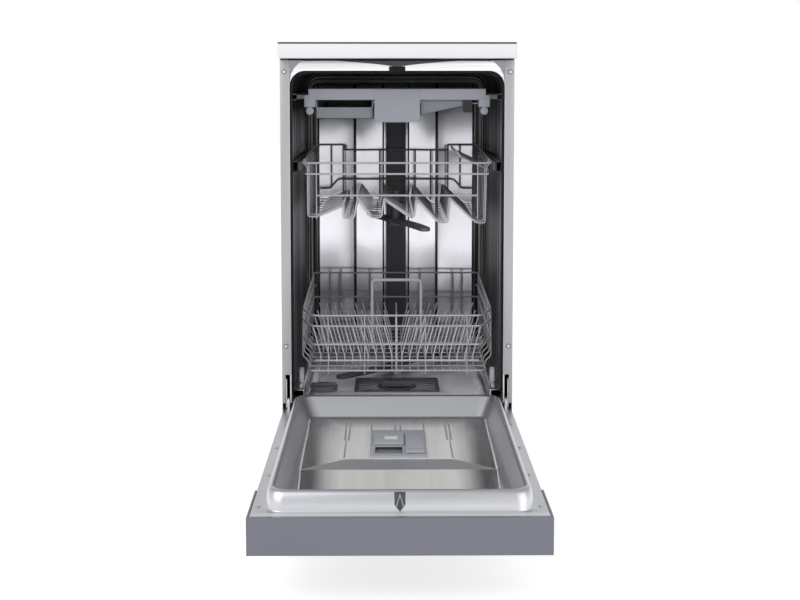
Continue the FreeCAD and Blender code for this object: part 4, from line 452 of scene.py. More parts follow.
def mirrored_blocks(bm, low, high, radius=0.8):
    """A box on the right and its like on the left."""
    block(bm, low, high, radius)
    block(bm, (-high[0], low[1], low[2]), (-low[0], high[1], high[2]), radius)


def draw_out(bm, corners):
    """A face between corners, and the vertices of its extruded copy."""
    face = bm.faces.new([bm.verts.new(p) for p in corners])
    return face, vertices(bmesh.ops.extrude_face_region(bm, geom=[face])["geom"])


def prism(bm, corners, shift, radius=0.6, segments=2):
    """A flat outline drawn out by a shift, both in metres, with rounded edges."""
    face, verts = draw_out(bm, corners)
    bmesh.ops.translate(bm, vec=shift, verts=verts)
    faces = {f for v in verts for f in v.link_faces} | {face}
    bmesh.ops.recalc_face_normals(bm, faces=list(faces))
    round_edges(bm, list({e for f in faces for e in f.edges}), radius * MM, segments)


def disc(bm, centre, radius, height, edge=0.6, axis=UP, sides=LATHE_SIDES):
    """A short round piece standing on its centre, all in millimetres but the axis."""
    turn = UP.rotation_difference(axis).to_matrix().to_4x4()
    place = Matrix.Translation(at(*centre)) @ turn @ Matrix.Translation((0, 0, height * MM / 2))
    verts = bmesh.ops.create_cone(bm, cap_ends=True, cap_tris=False, segments=sides, radius1=radius * MM,
                                  radius2=radius * MM, depth=height * MM, matrix=place)["verts"]
    rims = {e for v in verts for e in v.link_edges if any(len(f.verts) > 4 for f in e.link_faces)}
    round_edges(bm, list(rims), edge * MM)


def ring(bm, centre, inner, outer, height):
    """A flat ring standing on its centre, all in millimetres."""
    start = at(*centre)
    section = ((inner, 0), (outer, 0), (outer, height), (inner, height))
    verts = [bm.verts.new(start + Vector((x, 0, z)) * MM) for x, z in section]
    edges = [bm.edges.new(pair) for pair in zip(verts, verts[1:] + verts[:1])]
    bmesh.ops.spin(bm, geom=verts + edges, cent=start, axis=UP, angle=math.tau, steps=LATHE_SIDES,
                   use_merge=True)
    bmesh.ops.recalc_face_normals(bm, faces=bm.faces)


def bend(points, radius, steps=5):
    """A run of points whose corners are turned into smooth bends."""
    out = [points[0]]
    for before, corner, after in zip(points, points[1:], points[2:]):
        back, on = before - corner, after - corner
        reach = min(radius, back.length * 0.48, on.length * 0.48)
        start, stop = corner + back.normalized() * reach, corner + on.normalized() * reach
        for step in range(steps + 1):
            t = step / steps
            out.append(start * (1 - t) ** 2 + corner * 2 * t * (1 - t) + stop * t ** 2)
    return out + [points[-1]]


def add_wires(bm, paths, radius, fine=2):
    """Round wires along runs of points, added to a mesh."""
    curve = bpy.data.curves.new("wire_runs", "CURVE")
    curve.dimensions = "3D"
    curve.bevel_depth = radius
    curve.bevel_resolution = fine
    curve.use_fill_caps = True
    for path in paths:
        spline = curve.splines.new("POLY")
        spline.points.add(len(path) - 1)
        for point, place in zip(spline.points, path):
            point.co = (*place, 1)
    holder = bpy.data.objects.new("wire_runs", curve)
    mesh = bpy.data.meshes.new_from_object(holder)
    tubes = bmesh.new()
    tubes.from_mesh(mesh)
    bmesh.ops.remove_doubles(tubes, verts=tubes.verts, dist=1e-6)
    tubes.to_mesh(mesh)
    tubes.free()
    bm.from_mesh(mesh)
    bpy.data.objects.remove(holder)
    bpy.data.curves.remove(curve)
    bpy.data.meshes.remove(mesh)


def add_object(name, data):
    made = bpy.data.objects.new(name, data)
    bpy.context.scene.collection.objects.link(made)
    return made


def place_piece(bm, name, body, finish, slot=None, nodes=(), angle=35):
    """Makes the mesh an object that rides its body, wears its finish and stands for its nodes.

    Its slot, the finish's name unless another is given, is worked out but not used.
    """
    mesh = bpy.data.meshes.new(name)
    bm.normal_update()
    bm.to_mesh(mesh)
    bm.free()
    mesh.polygons.foreach_set("use_smooth", [True] * len(mesh.polygons))
    mesh.set_sharp_from_angle(angle=math.radians(angle))
    mesh.materials.append(FINISHES[finish])
    made = add_object(name, mesh)
    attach(made, body)
    if nodes:
        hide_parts(*nodes)
    slot = finish if slot is None else slot
    return made


@contextmanager
def new_piece(*place, **more):
    """An empty mesh to build in, which is then placed as a piece."""
    bm = bmesh.new()
    yield bm
    place_piece(bm, *place, **more)


def stand_in(node, finish, slot=None, angle=35):
    """A new piece that is shown in a node's place."""
    return new_piece(f"{node}_shown", BODY_OF[node], finish, slot, (node,), angle)


def keep_flat(mesh, share=12):
    """Shades a face flat where every face it turns into is small beside it."""
    meeting = {}
    for face in mesh.polygons:
        for key in face.edge_keys:
            meeting.setdefault(key, []).append(face)
    for face in mesh.polygons:
        others = (other for key in face.edge_keys for other in meeting[key])
        beside = [other.area for other in others if other.normal.dot(face.normal) < 0.999]
        if beside and face.area > share * max(beside):
            face.use_smooth = False


def soften(finish, radius, *nodes, slot=None, segments=2, first=None, extra=None, flat=False):
    """Stands copies with rounded edges in the nodes' places, with what first changes and extra adds."""
    for node in nodes:
        bm = bmesh.new()
        bm.from_mesh(frame["nodes"][node].data)
        bmesh.ops.remove_doubles(bm, verts=bm.verts, dist=2e-6)
        bmesh.ops.dissolve_limit(bm, angle_limit=math.radians(1), use_dissolve_boundaries=False,
                                 verts=bm.verts, edges=bm.edges, delimit=set())
        if first:
            first(bm)
        round_edges(bm, sharp_edges(bm), radius * MM, segments)
        if extra:
            extra(bm)
        made = place_piece(bm, f"{node}_shown", BODY_OF[node], finish, slot, (node,))
        if flat:
            keep_flat(made.data)


def corner_nodes(kind):
    """The four nodes of a kind that stand at the corners."""
    return [f"{end}_{side}_{kind}" for end in ("front", "rear") for side in ("left", "right")]


def sizes():
    return bpy.context.scene.dishwasher_sizes


# Pieces

class DISHWASHER_OT_cabinet(bpy.types.Operator):
    """Builds the worktop, panels, base and feet"""

    bl_idname = "dishwasher.cabinet"
    bl_label = "Cabinet"

    def execute(self, context):
        soften("worktop_board", 1.2, "worktop_board")
        soften("worktop_laminate", 0.9, "worktop_laminate")
        soften("cabinet_paint", 0.25, "left_side_panel", "right_side_panel")
        soften("zinc_sheet", 0.2, "rear_panel", "rear_cover")
        soften("base_plastic", 1.0, "base_tray", *corner_nodes("foot"))
        soften("base_plastic", 0.6, "plinth")
        soften("zinc_steel", 0.4, "cabinet_screws")
        # A black strip of painted shadow under the worktop's front overhang
        with new_piece("worktop_strip", "cabinet", "seal_rubber") as bm:
            block(bm, (-221.5, -2.6, 812.6), (221.5, -0.3, 814.8), 0.3)
        # Dark rings of painted shade round the front screws
        with new_piece("screw_wells", "cabinet", "rail_plastic", "dark_plastic") as bm:
            for x in (-215, 215):
                for z in (262, 790):
                    disc(bm, (x, -0.05, z), 4.7, 0.5, 0.2, AHEAD, 24)
        panel_back, cover_back = 536.8, 522.8
        screws = [(x, panel_back, z) for z in (150, 300, 460, 620, 790) for x in (-208, 208)]
        screws += [(x, cover_back, 106) for x in (-190, -64, 64, 190)]
        with new_piece("rear_screws", "cabinet", "zinc_steel") as bm:
            for screw in screws:
                disc(bm, screw, 3.6, 0.9, 0.3, BACK, 20)
        return {"FINISHED"}


# The tub's inside in millimetres, just clear of its sheet
TUB_HALF, TUB_TOP, TUB_FOOT, TUB_BACK, TUB_CORNER = 204.9, 791.9, 150.2, 527.8, 30
RIB_FOOT, RIB_TOP, RIB_HALF = 170, 769, 6
RIB_LINES = ((29, 0.45), (94, 0.80), (178, 0.50))


def slim_ribs(bm):
    """Narrows the standing ribs of the tub's back about their middle lines, each by its share."""
    for v in (v for v in bm.verts if RIB_FOOT * MM < v.co.z < RIB_TOP * MM):
        across = abs(v.co.x) / MM
        for line, share in RIB_LINES:
            if abs(across - line) < RIB_HALF:
                v.co.x = math.copysign((line + (across - line) * share) * MM, v.co.x)


def strike_slots(bm):
    """The catch's hood over the seal and the three ribs across its face."""
    block(bm, (-15, -3.5, 790.5), (15, 0.8, 800), 0.8)
    for x in (-9, 0, 9):
        block(bm, (x - 1.2, -5.0, 792), (x + 1.2, -3, 798.5), 0.4)


def tub_arch(inset, drop, depth):
    """The tub's inside outline at a depth, drawn in from the walls and down from the roof."""
    half, top = TUB_HALF - inset, TUB_TOP - drop
    wide, tall = (max(TUB_CORNER - less, 5) for less in (inset, drop))
    turns = even(0, math.pi / 2, 9)
    left = [(-half + wide * (1 - math.cos(t)), top - tall * (1 - math.sin(t))) for t in turns]
    return both_sides((-half, depth, TUB_FOOT), *[(x, depth, z) for x, z in left])


class DISHWASHER_OT_tub(bpy.types.Operator):
    """Builds the steel tub, its seal and its front frame"""

    bl_idname = "dishwasher.tub"
    bl_label = "Tub"

    def execute(self, context):
        # The wrapper's walls are painted shade with streaks of painted reflection
        soften("tub_wall", 0.0, "tub_wrapper", slot="tub_steel")
        soften("tub_steel", 0.25, "tub_front_frame")
        soften("tub_back", 1.3, "tub_back_panel", slot="tub_steel", first=slim_ribs)
        soften("tub_floor", 0.8, "tub_floor", slot="tub_steel")
        self.cove()
        self.fairing()
        soften("seal_rubber", 1.6, "door_seal", segments=3)
        soften("seal_rubber", 0.8, "latch_strike", slot="dark_plastic", extra=strike_slots)
        # The grey guides wear the darker plastic of painted shade
        soften("rail_plastic", 0.8, "rack_guides", slot="grey_plastic")
        soften("zinc_steel", 0.4, "hinge_brackets", "hinge_arms")
        return {"FINISHED"}

    def cove(self):
        """The rounded corner between the tub's walls, roof and back, in painted shade with streaks of
        painted reflection.
        """
        radius = sizes().cove_depth / MM
        places = [((1 - math.cos(t)) * radius, (1 - math.cos(t)) * radius * 1.6,
                   TUB_BACK - radius * (1 - math.sin(t))) for t in even(0, math.pi / 2, 9)]
        with new_piece("tub_cove", "cabinet", "tub_cove", "tub_steel") as bm:
            row = [bm.verts.new(p) for p in tub_arch(*places[0])]
            edges = [bm.edges.new(pair) for pair in zip(row, row[1:])]
            for place in places[1:]:
                made = bmesh.ops.extrude_edge_only(bm, edges=edges)["geom"]
                fresh = set(vertices(made))
                edges = [g for g in made if isinstance(g, bmesh.types.BMEdge) and set(g.verts) <= fresh]
                row = [next(e.other_vert(v) for e in v.link_edges if e.other_vert(v) in fresh) for v in row]
                for v, target in zip(row, tub_arch(*place)):
                    v.co = target
            bmesh.ops.recalc_face_normals(bm, faces=bm.faces)
            bmesh.ops.solidify(bm, geom=bm.faces[:], thickness=0.4 * MM)

    def fairing(self):
        """The sloping fairing that runs down to the catch, and the gussets in the frame's corners, both in
        darker steel of painted shade.
        """
        reach, top, foot, lean = 128, 811.8, 797.5, 4.0
        lower = [(reach * s, foot + (top - foot) * abs(s) ** 0.6) for s in even(-0.97, 0.97, 25)]
        outline = [(-reach, top)] + lower + [(reach, top)]
        # Dark steel of painted shade over the catch
        with new_piece("catch_fairing", "cabinet", "fairing_steel", "tub_steel") as bm:
            _, behind = draw_out(bm, [at(x, 0.7 - lean * (top - z) / (top - foot), z) for x, z in outline])
            for v in behind:
                v.co.y = at(0, 1.4, 0).y
            bmesh.ops.recalc_face_normals(bm, faces=bm.faces)
        gusset = ((205.2, 811.6), (180, 811.6), (187, 806), (196, 797), (202, 785), (204.6, 768),
                  (205.2, 768))
        # Grey steel of painted shade in the frame's corners
        with new_piece("frame_corners", "cabinet", "frame_steel", "tub_steel") as bm:
            for side in SIDES:
                prism(bm, [at(x * side, 0.5, z) for x, z in gusset], BACK * 0.5 * MM, 0.1, 1)


class DISHWASHER_OT_machinery(bpy.types.Operator):
    """Builds the sump, pumps, softener and rear ports"""

    bl_idname = "dishwasher.machinery"
    bl_label = "Machinery"

    def execute(self, context):
        # The column wears the lighter copy of the dark plastic, painted light
        soften("arm_plastic", 2.0, "spray_column", slot="dark_plastic")
        soften("dark_plastic", 0.8, "feed_pipe")
        soften("grey_plastic", 1.5, "sump", "softener")
        soften("pump_metal", 1.5, "circulation_pump", "drain_pump")
        soften("dark_plastic", 0.5, "inlet_valve", "drain_spigot", "cable_gland")
        soften("board_green", 0.2, "control_board")
        return {"FINISHED"}


class DISHWASHER_OT_spray_arms(bpy.types.Operator):
    """Builds the two spray arms"""

    bl_idname = "dishwasher.spray_arms"
    bl_label = "Spray arms"

    width, collar_radius, collar_length = 30, 19, 12.5
    jet_shares = (0.32, 0.5, 0.68, 0.86)

    def execute(self, context):
        self.arm("lower_spray_arm", "dark_plastic", 262, 179, 168.2, 176, 174.8, 228)
        self.arm("upper_spray_arm", "arm_plastic", 275, 188, 473.8, 481.8, 475.4, 288)
        return {"FINISHED"}

    def arm(self, node, finish, depth, half, low, high, collar, degrees):
        """A hollow spray arm: waisted bar, round ends, collar and a row of jets, in millimetres."""
        thickness, middle = high - low, (low + high) / 2

        def sweep(x):
            return math.sin(x / half * math.pi) * self.width * 0.14

        with stand_in(node, finish, "dark_plastic") as bm:
            place = Matrix.Diagonal((half * 2, self.width, thickness, 1))
            verts = bmesh.ops.create_cube(bm, size=1.0, matrix=place)["verts"]
            edges = {e for v in verts for e in v.link_edges if abs(e.verts[0].co.x - e.verts[1].co.x) > half}
            bmesh.ops.subdivide_edges(bm, edges=list(edges), cuts=15, use_grid_fill=True)
            for v in bm.verts:
                v.co.y *= 0.94 - 0.24 * (abs(v.co.x) / half) ** 2
                v.co.y += sweep(v.co.x)
            ends = [e for e in bm.edges if abs(e.verts[0].co.z - e.verts[1].co.z) > thickness / 2
                    and abs(abs(e.verts[0].co.x) - half) < 0.01]
            round_edges(bm, ends, self.width * 0.3, 5)
            round_edges(bm, sharp_edges(bm, 50), 2.2, 3)
            for jet in [half * share * side for share in self.jet_shares for side in SIDES]:
                stand = Matrix.Translation((jet, sweep(jet), thickness / 2 + 0.2))
                bmesh.ops.create_cone(bm, cap_ends=True, segments=16, radius1=4.2, radius2=3.4, depth=1.2,
                                      matrix=stand)
            bmesh.ops.create_cone(bm, cap_ends=True, segments=LATHE_SIDES, radius1=self.collar_radius,
                                  radius2=self.collar_radius - 1.5, depth=self.collar_length,
                                  matrix=Matrix.Translation((0, 0, collar - middle)))
            stand = Matrix.Scale(MM, 4) @ Matrix.Translation((0, depth + FLANGE_PLANE, middle))
            turn = Matrix.Rotation(math.radians(degrees), 4, "Z")
            bmesh.ops.transform(bm, matrix=stand @ turn, verts=bm.verts)


def cap_knurls(bm):
    """The salt cap's top and the grip ribs round its edge."""
    x, y = -148, 112
    disc(bm, (x, y, 150.6), 27.2, 7.0, 0.8)
    for turn in (math.radians(15 * step) for step in range(24)):
        disc(bm, (x + 26.6 * math.cos(turn), y + 26.6 * math.sin(turn), 156.4), 1.3, 4.0, 0.3, sides=10)


class DISHWASHER_OT_filter(bpy.types.Operator):
    """Builds the filter plate, its cup and the salt cap"""

    bl_idname = "dishwasher.filter"
    bl_label = "Filter and caps"

    def execute(self, context):
        soften("dark_plastic", 0.4, "flat_filter")
        soften("dark_plastic", 0.8, "filter_cup")
        soften("arm_plastic", 0.8, "salt_cap", slot="dark_plastic", extra=cap_knurls)
        self.ribs()
        return {"FINISHED"}

    def ribs(self):
        """Ribs that run out from round the cup to the plate's edges."""
        hub, inner, least = at(0, 135, 151.6), 40, 44
        half, behind, before = 78, 72, 36
        # The ribs wear grey plastic, lighter than the filter's dark plastic: painted highlight
        with new_piece("filter_ribs", "cabinet", "grey_plastic", "dark_plastic") as bm:
            for turn in (math.radians(12 * step) for step in range(30)):
                out = Vector((math.cos(turn), math.sin(turn), 0))
                deep = behind if out.y > 0 else before
                reach = min(half / max(abs(out.x), 1e-6), deep / max(abs(out.y), 1e-6))
                if reach < least:
                    continue
                across = Vector((-out.y, out.x, 0)) * 0.7 * MM
                start, stop = hub + out * inner * MM, hub + out * reach * MM
                corners = [start - across, stop - across, stop + across, start + across]
                prism(bm, corners, UP * 1.4 * MM, 0.25)


def rounded_face(bm, half, far, near, height, corner):
    """A flat face with round corners, in millimetres."""
    old = set(bm.verts)
    corners = run((-half, near, height), (half, near, height), (half, far, height), (-half, far, height))
    face = bm.faces.new([bm.verts.new(p) for p in corners])
    bmesh.ops.bevel(bm, geom=list(face.verts), offset=corner * MM, offset_type="OFFSET", affect="VERTICES",
                    segments=8, profile=0.5, material=-1, clamp_overlap=False)
    return next(v for v in bm.verts if v not in old).link_faces[0]


def round_order(verts):
    """A ring's vertices in order round its middle."""
    middle = sum((v.co for v in verts), Vector()) / len(verts)
    return sorted(verts, key=lambda v: math.atan2(v.co.y - middle.y, v.co.x - middle.x))


def draw_on(bm, face):
    """The next face of a pressing, joined to the last by a band of quads."""
    made = bmesh.ops.extrude_face_region(bm, geom=[face])["geom"]
    if face.is_valid:
        bmesh.ops.delete(bm, geom=[face], context="FACES_ONLY")
    return next(f for f in made if isinstance(f, bmesh.types.BMFace))


def move_ring(face, before, after):
    """Fits a face from one place to the next; a place is half far, half near, far, near and height."""
    for v in face.verts:
        across, deep = v.co.x / MM, v.co.y / MM - FLANGE_PLANE
        share = (deep - before[3]) / (before[2] - before[3])
        old_half = before[1] + (before[0] - before[1]) * share
        new_half = after[1] + (after[0] - after[1]) * share
        v.co = at(across / old_half * new_half, after[3] + (after[2] - after[3]) * share, after[4])


class DISHWASHER_OT_door_liner(bpy.types.Operator):
    """Presses the door's steel dish with its rim, folds and beads"""

    bl_idname = "dishwasher.door_liner"
    bl_label = "Door liner"

    flange_height, rim_height, floor_height = 139, 169, 131
    # From the flange up to the rim and down to the floor, as move_ring reads them, and their folds' radii
    places = ((199, 199, -4, -628, flange_height), (198.8, 198.8, -4.4, -626.6, 148),
              (198, 198, -5.2, -623.4, 159), (196.3, 196.3, -6.7, -617, rim_height),
              (187.5, 187.5, -15.5, -609, rim_height), (167.5, 177, -45.5, -589, floor_height))
    folds = (3.0, 0, 0, 4.5, 3.5, 6.0)
    # The floor's shallow ramps: far, middle and near, and the sloping band, with their far and near heights
    ramps = (
        (((-161, -62), (161, -62), (162.2, -214), (45, -214), (45, -152), (-45, -152), (-45, -214),
          (-162.2, -214)), 135.2, 131.8),
        (((-162.2, -215), (-45, -215), (-45, -316), (45, -316), (45, -215), (162.2, -215), (163, -384),
          (96, -327), (-91, -326), (-163, -384)), 134.4, 131.4),
        (((-161, -392), (161, -392), (168, -581), (-168, -581)), 133.6, 131.3))
    band = (((-163, -384), (-91, -326), (96, -327), (163, -384), (164, -391), (-164, -391)), 132.5, 131.1)
    beads = (((166, -64), (164.5, -205)), ((164.5, -222), (163, -380)), ((162, -396), (156, -575)))
    creases = (((88, -96), (88, -206)), ((95, -96), (95, -206)), ((92, -214), (92.5, -325)),
               ((48, -92), (48, -146)), ((5, -104), (5, -146)))

    def execute(self, context):
        with stand_in("door_liner", "door_steel", "tub_steel", 50) as bm:
            self.press_dish(bm)
        for name, finish, pressings in (("dish_panel", "dish_steel", self.ramps),
                                        ("dish_band", "band_steel", (self.band,))):
            with new_piece(name, "door", finish, "tub_steel", angle=1) as bm:
                for outline, high, low in pressings:
                    self.press_ramp(bm, outline, high, low)
        for name, finish, runs, radius in (("dish_beads", "bead_steel", self.beads, 1.7),
                                           ("dish_creases", "tub_steel", self.creases, 1.3)):
            with new_piece(name, "door", finish, "tub_steel") as bm:
                for side in SIDES:
                    lines = [[self.on_floor(x * side, y) for x, y in line] for line in runs]
                    add_wires(bm, lines, radius * MM)
        return {"FINISHED"}

    def press_dish(self, bm):
        """The flange, the rim and the dish, drawn from one sheet."""
        flange = rounded_face(bm, 220, 46, -645, self.flange_height, 1.5)
        pattern = rounded_face(bm, *self.places[0][1:], 26)
        targets = [v.co.copy() for v in round_order(pattern.verts)]
        bmesh.ops.delete(bm, geom=list(pattern.verts), context="VERTS")
        face = draw_on(bm, flange)
        for v, target in zip(round_order(face.verts), targets):
            v.co = target
        rings = [list(face.edges)]
        for before, after in zip(self.places, self.places[1:]):
            face = draw_on(bm, face)
            move_ring(face, before, after)
            rings.append(list(face.edges))
        bmesh.ops.recalc_face_normals(bm, faces=bm.faces)
        if face.normal.z < 0:
            bmesh.ops.reverse_faces(bm, faces=bm.faces)
        for edges, radius in zip(rings, self.folds):
            round_edges(bm, edges, radius * MM, 4)
        bmesh.ops.solidify(bm, geom=bm.faces[:], thickness=0.9 * MM)

    def on_floor(self, x, y):
        """A place along the top of the ramps, the nearest of which is the lowest."""
        return at(x, y, self.floor_height + (2.4 if y > -390 else 1.0))

    def press_ramp(self, bm, outline, high, low):
        """A ramp on the dish floor that falls from its far edge to its near edge."""
        old = set(bm.faces)
        back, front = (pick(y for _, y in outline) for pick in (max, min))
        slope = (high - low) / (back - front)
        _, base = draw_out(bm, [at(x, y, low + slope * (y - front)) for x, y in outline])
        for v in base:
            v.co.z = (self.floor_height - 0.4) * MM
        bmesh.ops.recalc_face_normals(bm, faces=[f for f in bm.faces if f not in old])


class DISHWASHER_OT_door(bpy.types.Operator):
    """Builds the door's outer panel, console, buttons, latch and screws"""

    bl_idname = "dishwasher.door"
    bl_label = "Door"

    def execute(self, context):
        soften("cabinet_paint", 0.8, "door_outer_panel", flat=True)
        soften("console_paint", 1.2, "console", flat=True)
        soften("window_glass", 0.4, "display_window")
        soften("zinc_steel", 0.4, "door_screws")
        soften("console_paint", 0.5, "power_button", "program_button", "start_button")
        button_line = -623
        with new_piece("button_rings", "door", "grey_plastic") as bm:
            for x in (-190, -158, 190):
                ring(bm, (x, button_line, 82.1), 7.9, 9.6, 0.8)
        with new_piece("indicator_lenses", "door", "window_glass") as bm:
            for x in even(132, 164, 5):
                disc(bm, (x, button_line, 82.3), 1.6, 0.8, 0.2, sides=20)
        self.latch()
        return {"FINISHED"}

    def latch(self):
        """The dark catch on the rim's near face, with its pointed end."""
        low, high = (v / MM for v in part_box("latch_plate"))
        near, foot = low.y - FLANGE_PLANE, 138
        lean = (high.z - foot) * 0.3
        outline = ((-8.3, 150), (0, 140.2), (8.3, 150), (8.3, 167), (-8.3, 167))
        with stand_in("latch_plate", "dark_plastic") as bm:
            corners = [at(x, near + lean * (z - foot) / (high.z - foot), z) for x, z in outline]
            prism(bm, corners, BACK * 3.2 * MM, 0.5)
        # The ribs wear grey plastic, lighter than the catch's dark plastic: painted highlight
        with new_piece("latch_ribs", "door", "grey_plastic", "dark_plastic") as bm:
            lines = [run((side * 5.5, near + 0.8, 147), (0, near + lean * 0.82, 164)) for side in SIDES]
            add_wires(bm, lines, 1.0 * MM, 1)


class DISHWASHER_OT_dispenser(bpy.types.Operator):
    """Builds the detergent dispenser and its two lids"""

    bl_idname = "dishwasher.dispenser"
    bl_label = "Dispenser"

    def execute(self, context):
        soften("dispenser_plastic", 0.9, "dispenser_body")
        # Black plastic of painted shade inside the detergent cup
        with new_piece("cup_lining", BODY_OF["dispenser_body"], "black_plastic", "dispenser_plastic") as bm:
            block(bm, (-39.8, -301.8, 109.1), (6.8, -257.2, 109.9), 0.2)
            block(bm, (-39.8, -258.0, 109.5), (6.8, -257.2, 134.5), 0.2)
            for x in (-39.8, 6.0):
                block(bm, (x, -301.8, 109.5), (x + 0.8, -257.2, 134.5), 0.2)
        with stand_in("detergent_lid", "dispenser_plastic") as bm:
            block(bm, (-43, -254, 136.5), (10, -178, 141.2), 1.4, 3)
            for y in (-250 + step * 3.2 for step in range(6)):
                block(bm, (-34, y, 140.8), (1, y + 1.4, 141.9), 0.4)
        with new_piece("lid_label", "detergent_lid", "label_white", "") as bm:
            block(bm, (-24, -231, 141.0), (-1, -209, 141.5), 0.15)
        with stand_in("rinse_aid_lid", "dispenser_plastic") as bm:
            block(bm, (13, -306, 136.5), (46, -178, 140.4), 1.2, 3)
            block(bm, (19.5, -303, 139.8), (39.5, -291, 142.0), 0.8)
            block(bm, (17, -284, 140.0), (42, -190, 141.0), 0.5)
        return {"FINISHED"}


class DISHWASHER_OT_upper_basket(bpy.types.Operator):
    """Bends the upper basket's wires, its rails and the cup shelf"""

    bl_idname = "dishwasher.upper_basket"
    bl_label = "Upper basket"

    near, far, front_rail, back_rail = 60, 495, 613, 630
    floor_line = ((-176, 507), (-156, 507), (-106, 528), (-106, 504), (-85, 504), (-78, 541), (-51, 505),
                  (-31, 505), (-26, 540), (23, 507), (34, 505), (38, 536), (44, 534), (80, 496), (100, 495),
                  (105, 541), (155, 495), (174, 494))
    runners = ((-166, 505), (-95, 502), (-41, 503), (29, 503), (90, 493), (164, 492))

    def execute(self, context):
        size, waves = sizes(), self.waves()
        # The floor waves, back rails and uprights wear the darker wire of painted shade
        with new_piece("upper_basket_waves", "upper_rack", "shaded_wire", "coated_wire") as bm:
            add_wires(bm, waves[2:], size.mesh_wire, 1)
            add_wires(bm, self.back_rails(size), size.frame_wire)
            uprights = [run((x, self.far, self.back_rail if abs(x) > 118 else 618),
                            (x, self.far, 530 if abs(x) > 140 else 503))
                        for x in (-147.6, -120.3, -37, 44, 79, 118.6, 146.6)]
            add_wires(bm, uprights, STANDING_SHARE * size.frame_wire)
        with stand_in("upper_basket", "coated_wire") as bm:
            add_wires(bm, self.frames(size), size.frame_wire)
            add_wires(bm, waves[:2], STANDING_SHARE * size.frame_wire)
            lines = [run((x, self.near + 6, z), (x, self.far - 4, z)) for x, z in self.runners]
            lines += [run((x, self.near, self.front_rail), (x, self.near, 503)) for x in (-158, 158)]
            add_wires(bm, lines, size.mesh_wire, 1)
        # The grey rails wear the darker plastic of painted shade
        soften("rail_plastic", 0.8, "upper_rails", slot="grey_plastic")
        self.shelf(size)
        return {"FINISHED"}

    def frames(self, size):
        """The three front wires, the top rail and the side wires."""
        near, far, rail = self.near, self.far, self.back_rail
        front = [both_sides((-half, near, z)) for half, z in ((184, 613), (178, 591.5), (158, 549.3))]
        top = both_sides((-176, far, rail), (-184, far, rail), (-185, near, self.front_rail))
        sides = [bend(run((s * 178, near, 591.5), (s * 182, near + 30, 594), (s * 181, far, 594)), 10 * MM)
                 for s in SIDES]
        return front + [bend(top, size.wire_bend)] + sides

    def back_rails(self, size):
        """The stepped rail at the back and the bent wire under it."""
        far, rail = self.far, self.back_rail
        step = both_sides((-177, far, rail), (-117, far, rail), (-120, far, 618))
        back = both_sides((-173, far, 530), (-150, far, 530), (-132, far, 551))
        return [bend(step, size.wire_bend), bend(back, 6 * MM)]

    def waves(self):
        """The floor wires, each a row of peaks for glasses, hung from the top rail."""
        near, far, waves = self.near, self.far, []
        for y in even(near + 10, far - 6, 11):
            rise = self.front_rail + (self.back_rail - self.front_rail) * (y - near) / (far - near)
            hung = both_sides((-186, y, rise + 3), (-176, y, rise - 9))
            waves.append(bend(hung[:2] + cross(y, self.floor_line) + hung[2:], 5 * MM, 3))
        return waves

    def shelf(self, size):
        """The folding cup shelf, a comb of wires from its hinge rod."""
        near, far, lean = 104, 451, math.radians(25)
        hinge, slope = Vector((179.6, 598)), Vector((-math.cos(lean), math.sin(lean)))
        edge, mid = hinge + slope * 60, hinge + slope * 32
        with stand_in("cup_shelf", "coated_wire") as bm:
            frames = [run((x, start, z), (x, stop, z)) for x, z, start, stop in (
                (hinge.x, hinge.y, 100, 455), (edge.x, edge.y, near, far), (mid.x, mid.y - 1, near, far))]
            add_wires(bm, frames, size.frame_wire)
            hook = (hinge, edge, (edge.x - 3, edge.y + 8))
            ribs = [bend(cross(y, hook), 5 * MM) for y in even(near, far, 15)]
            add_wires(bm, ribs, size.mesh_wire, 1)


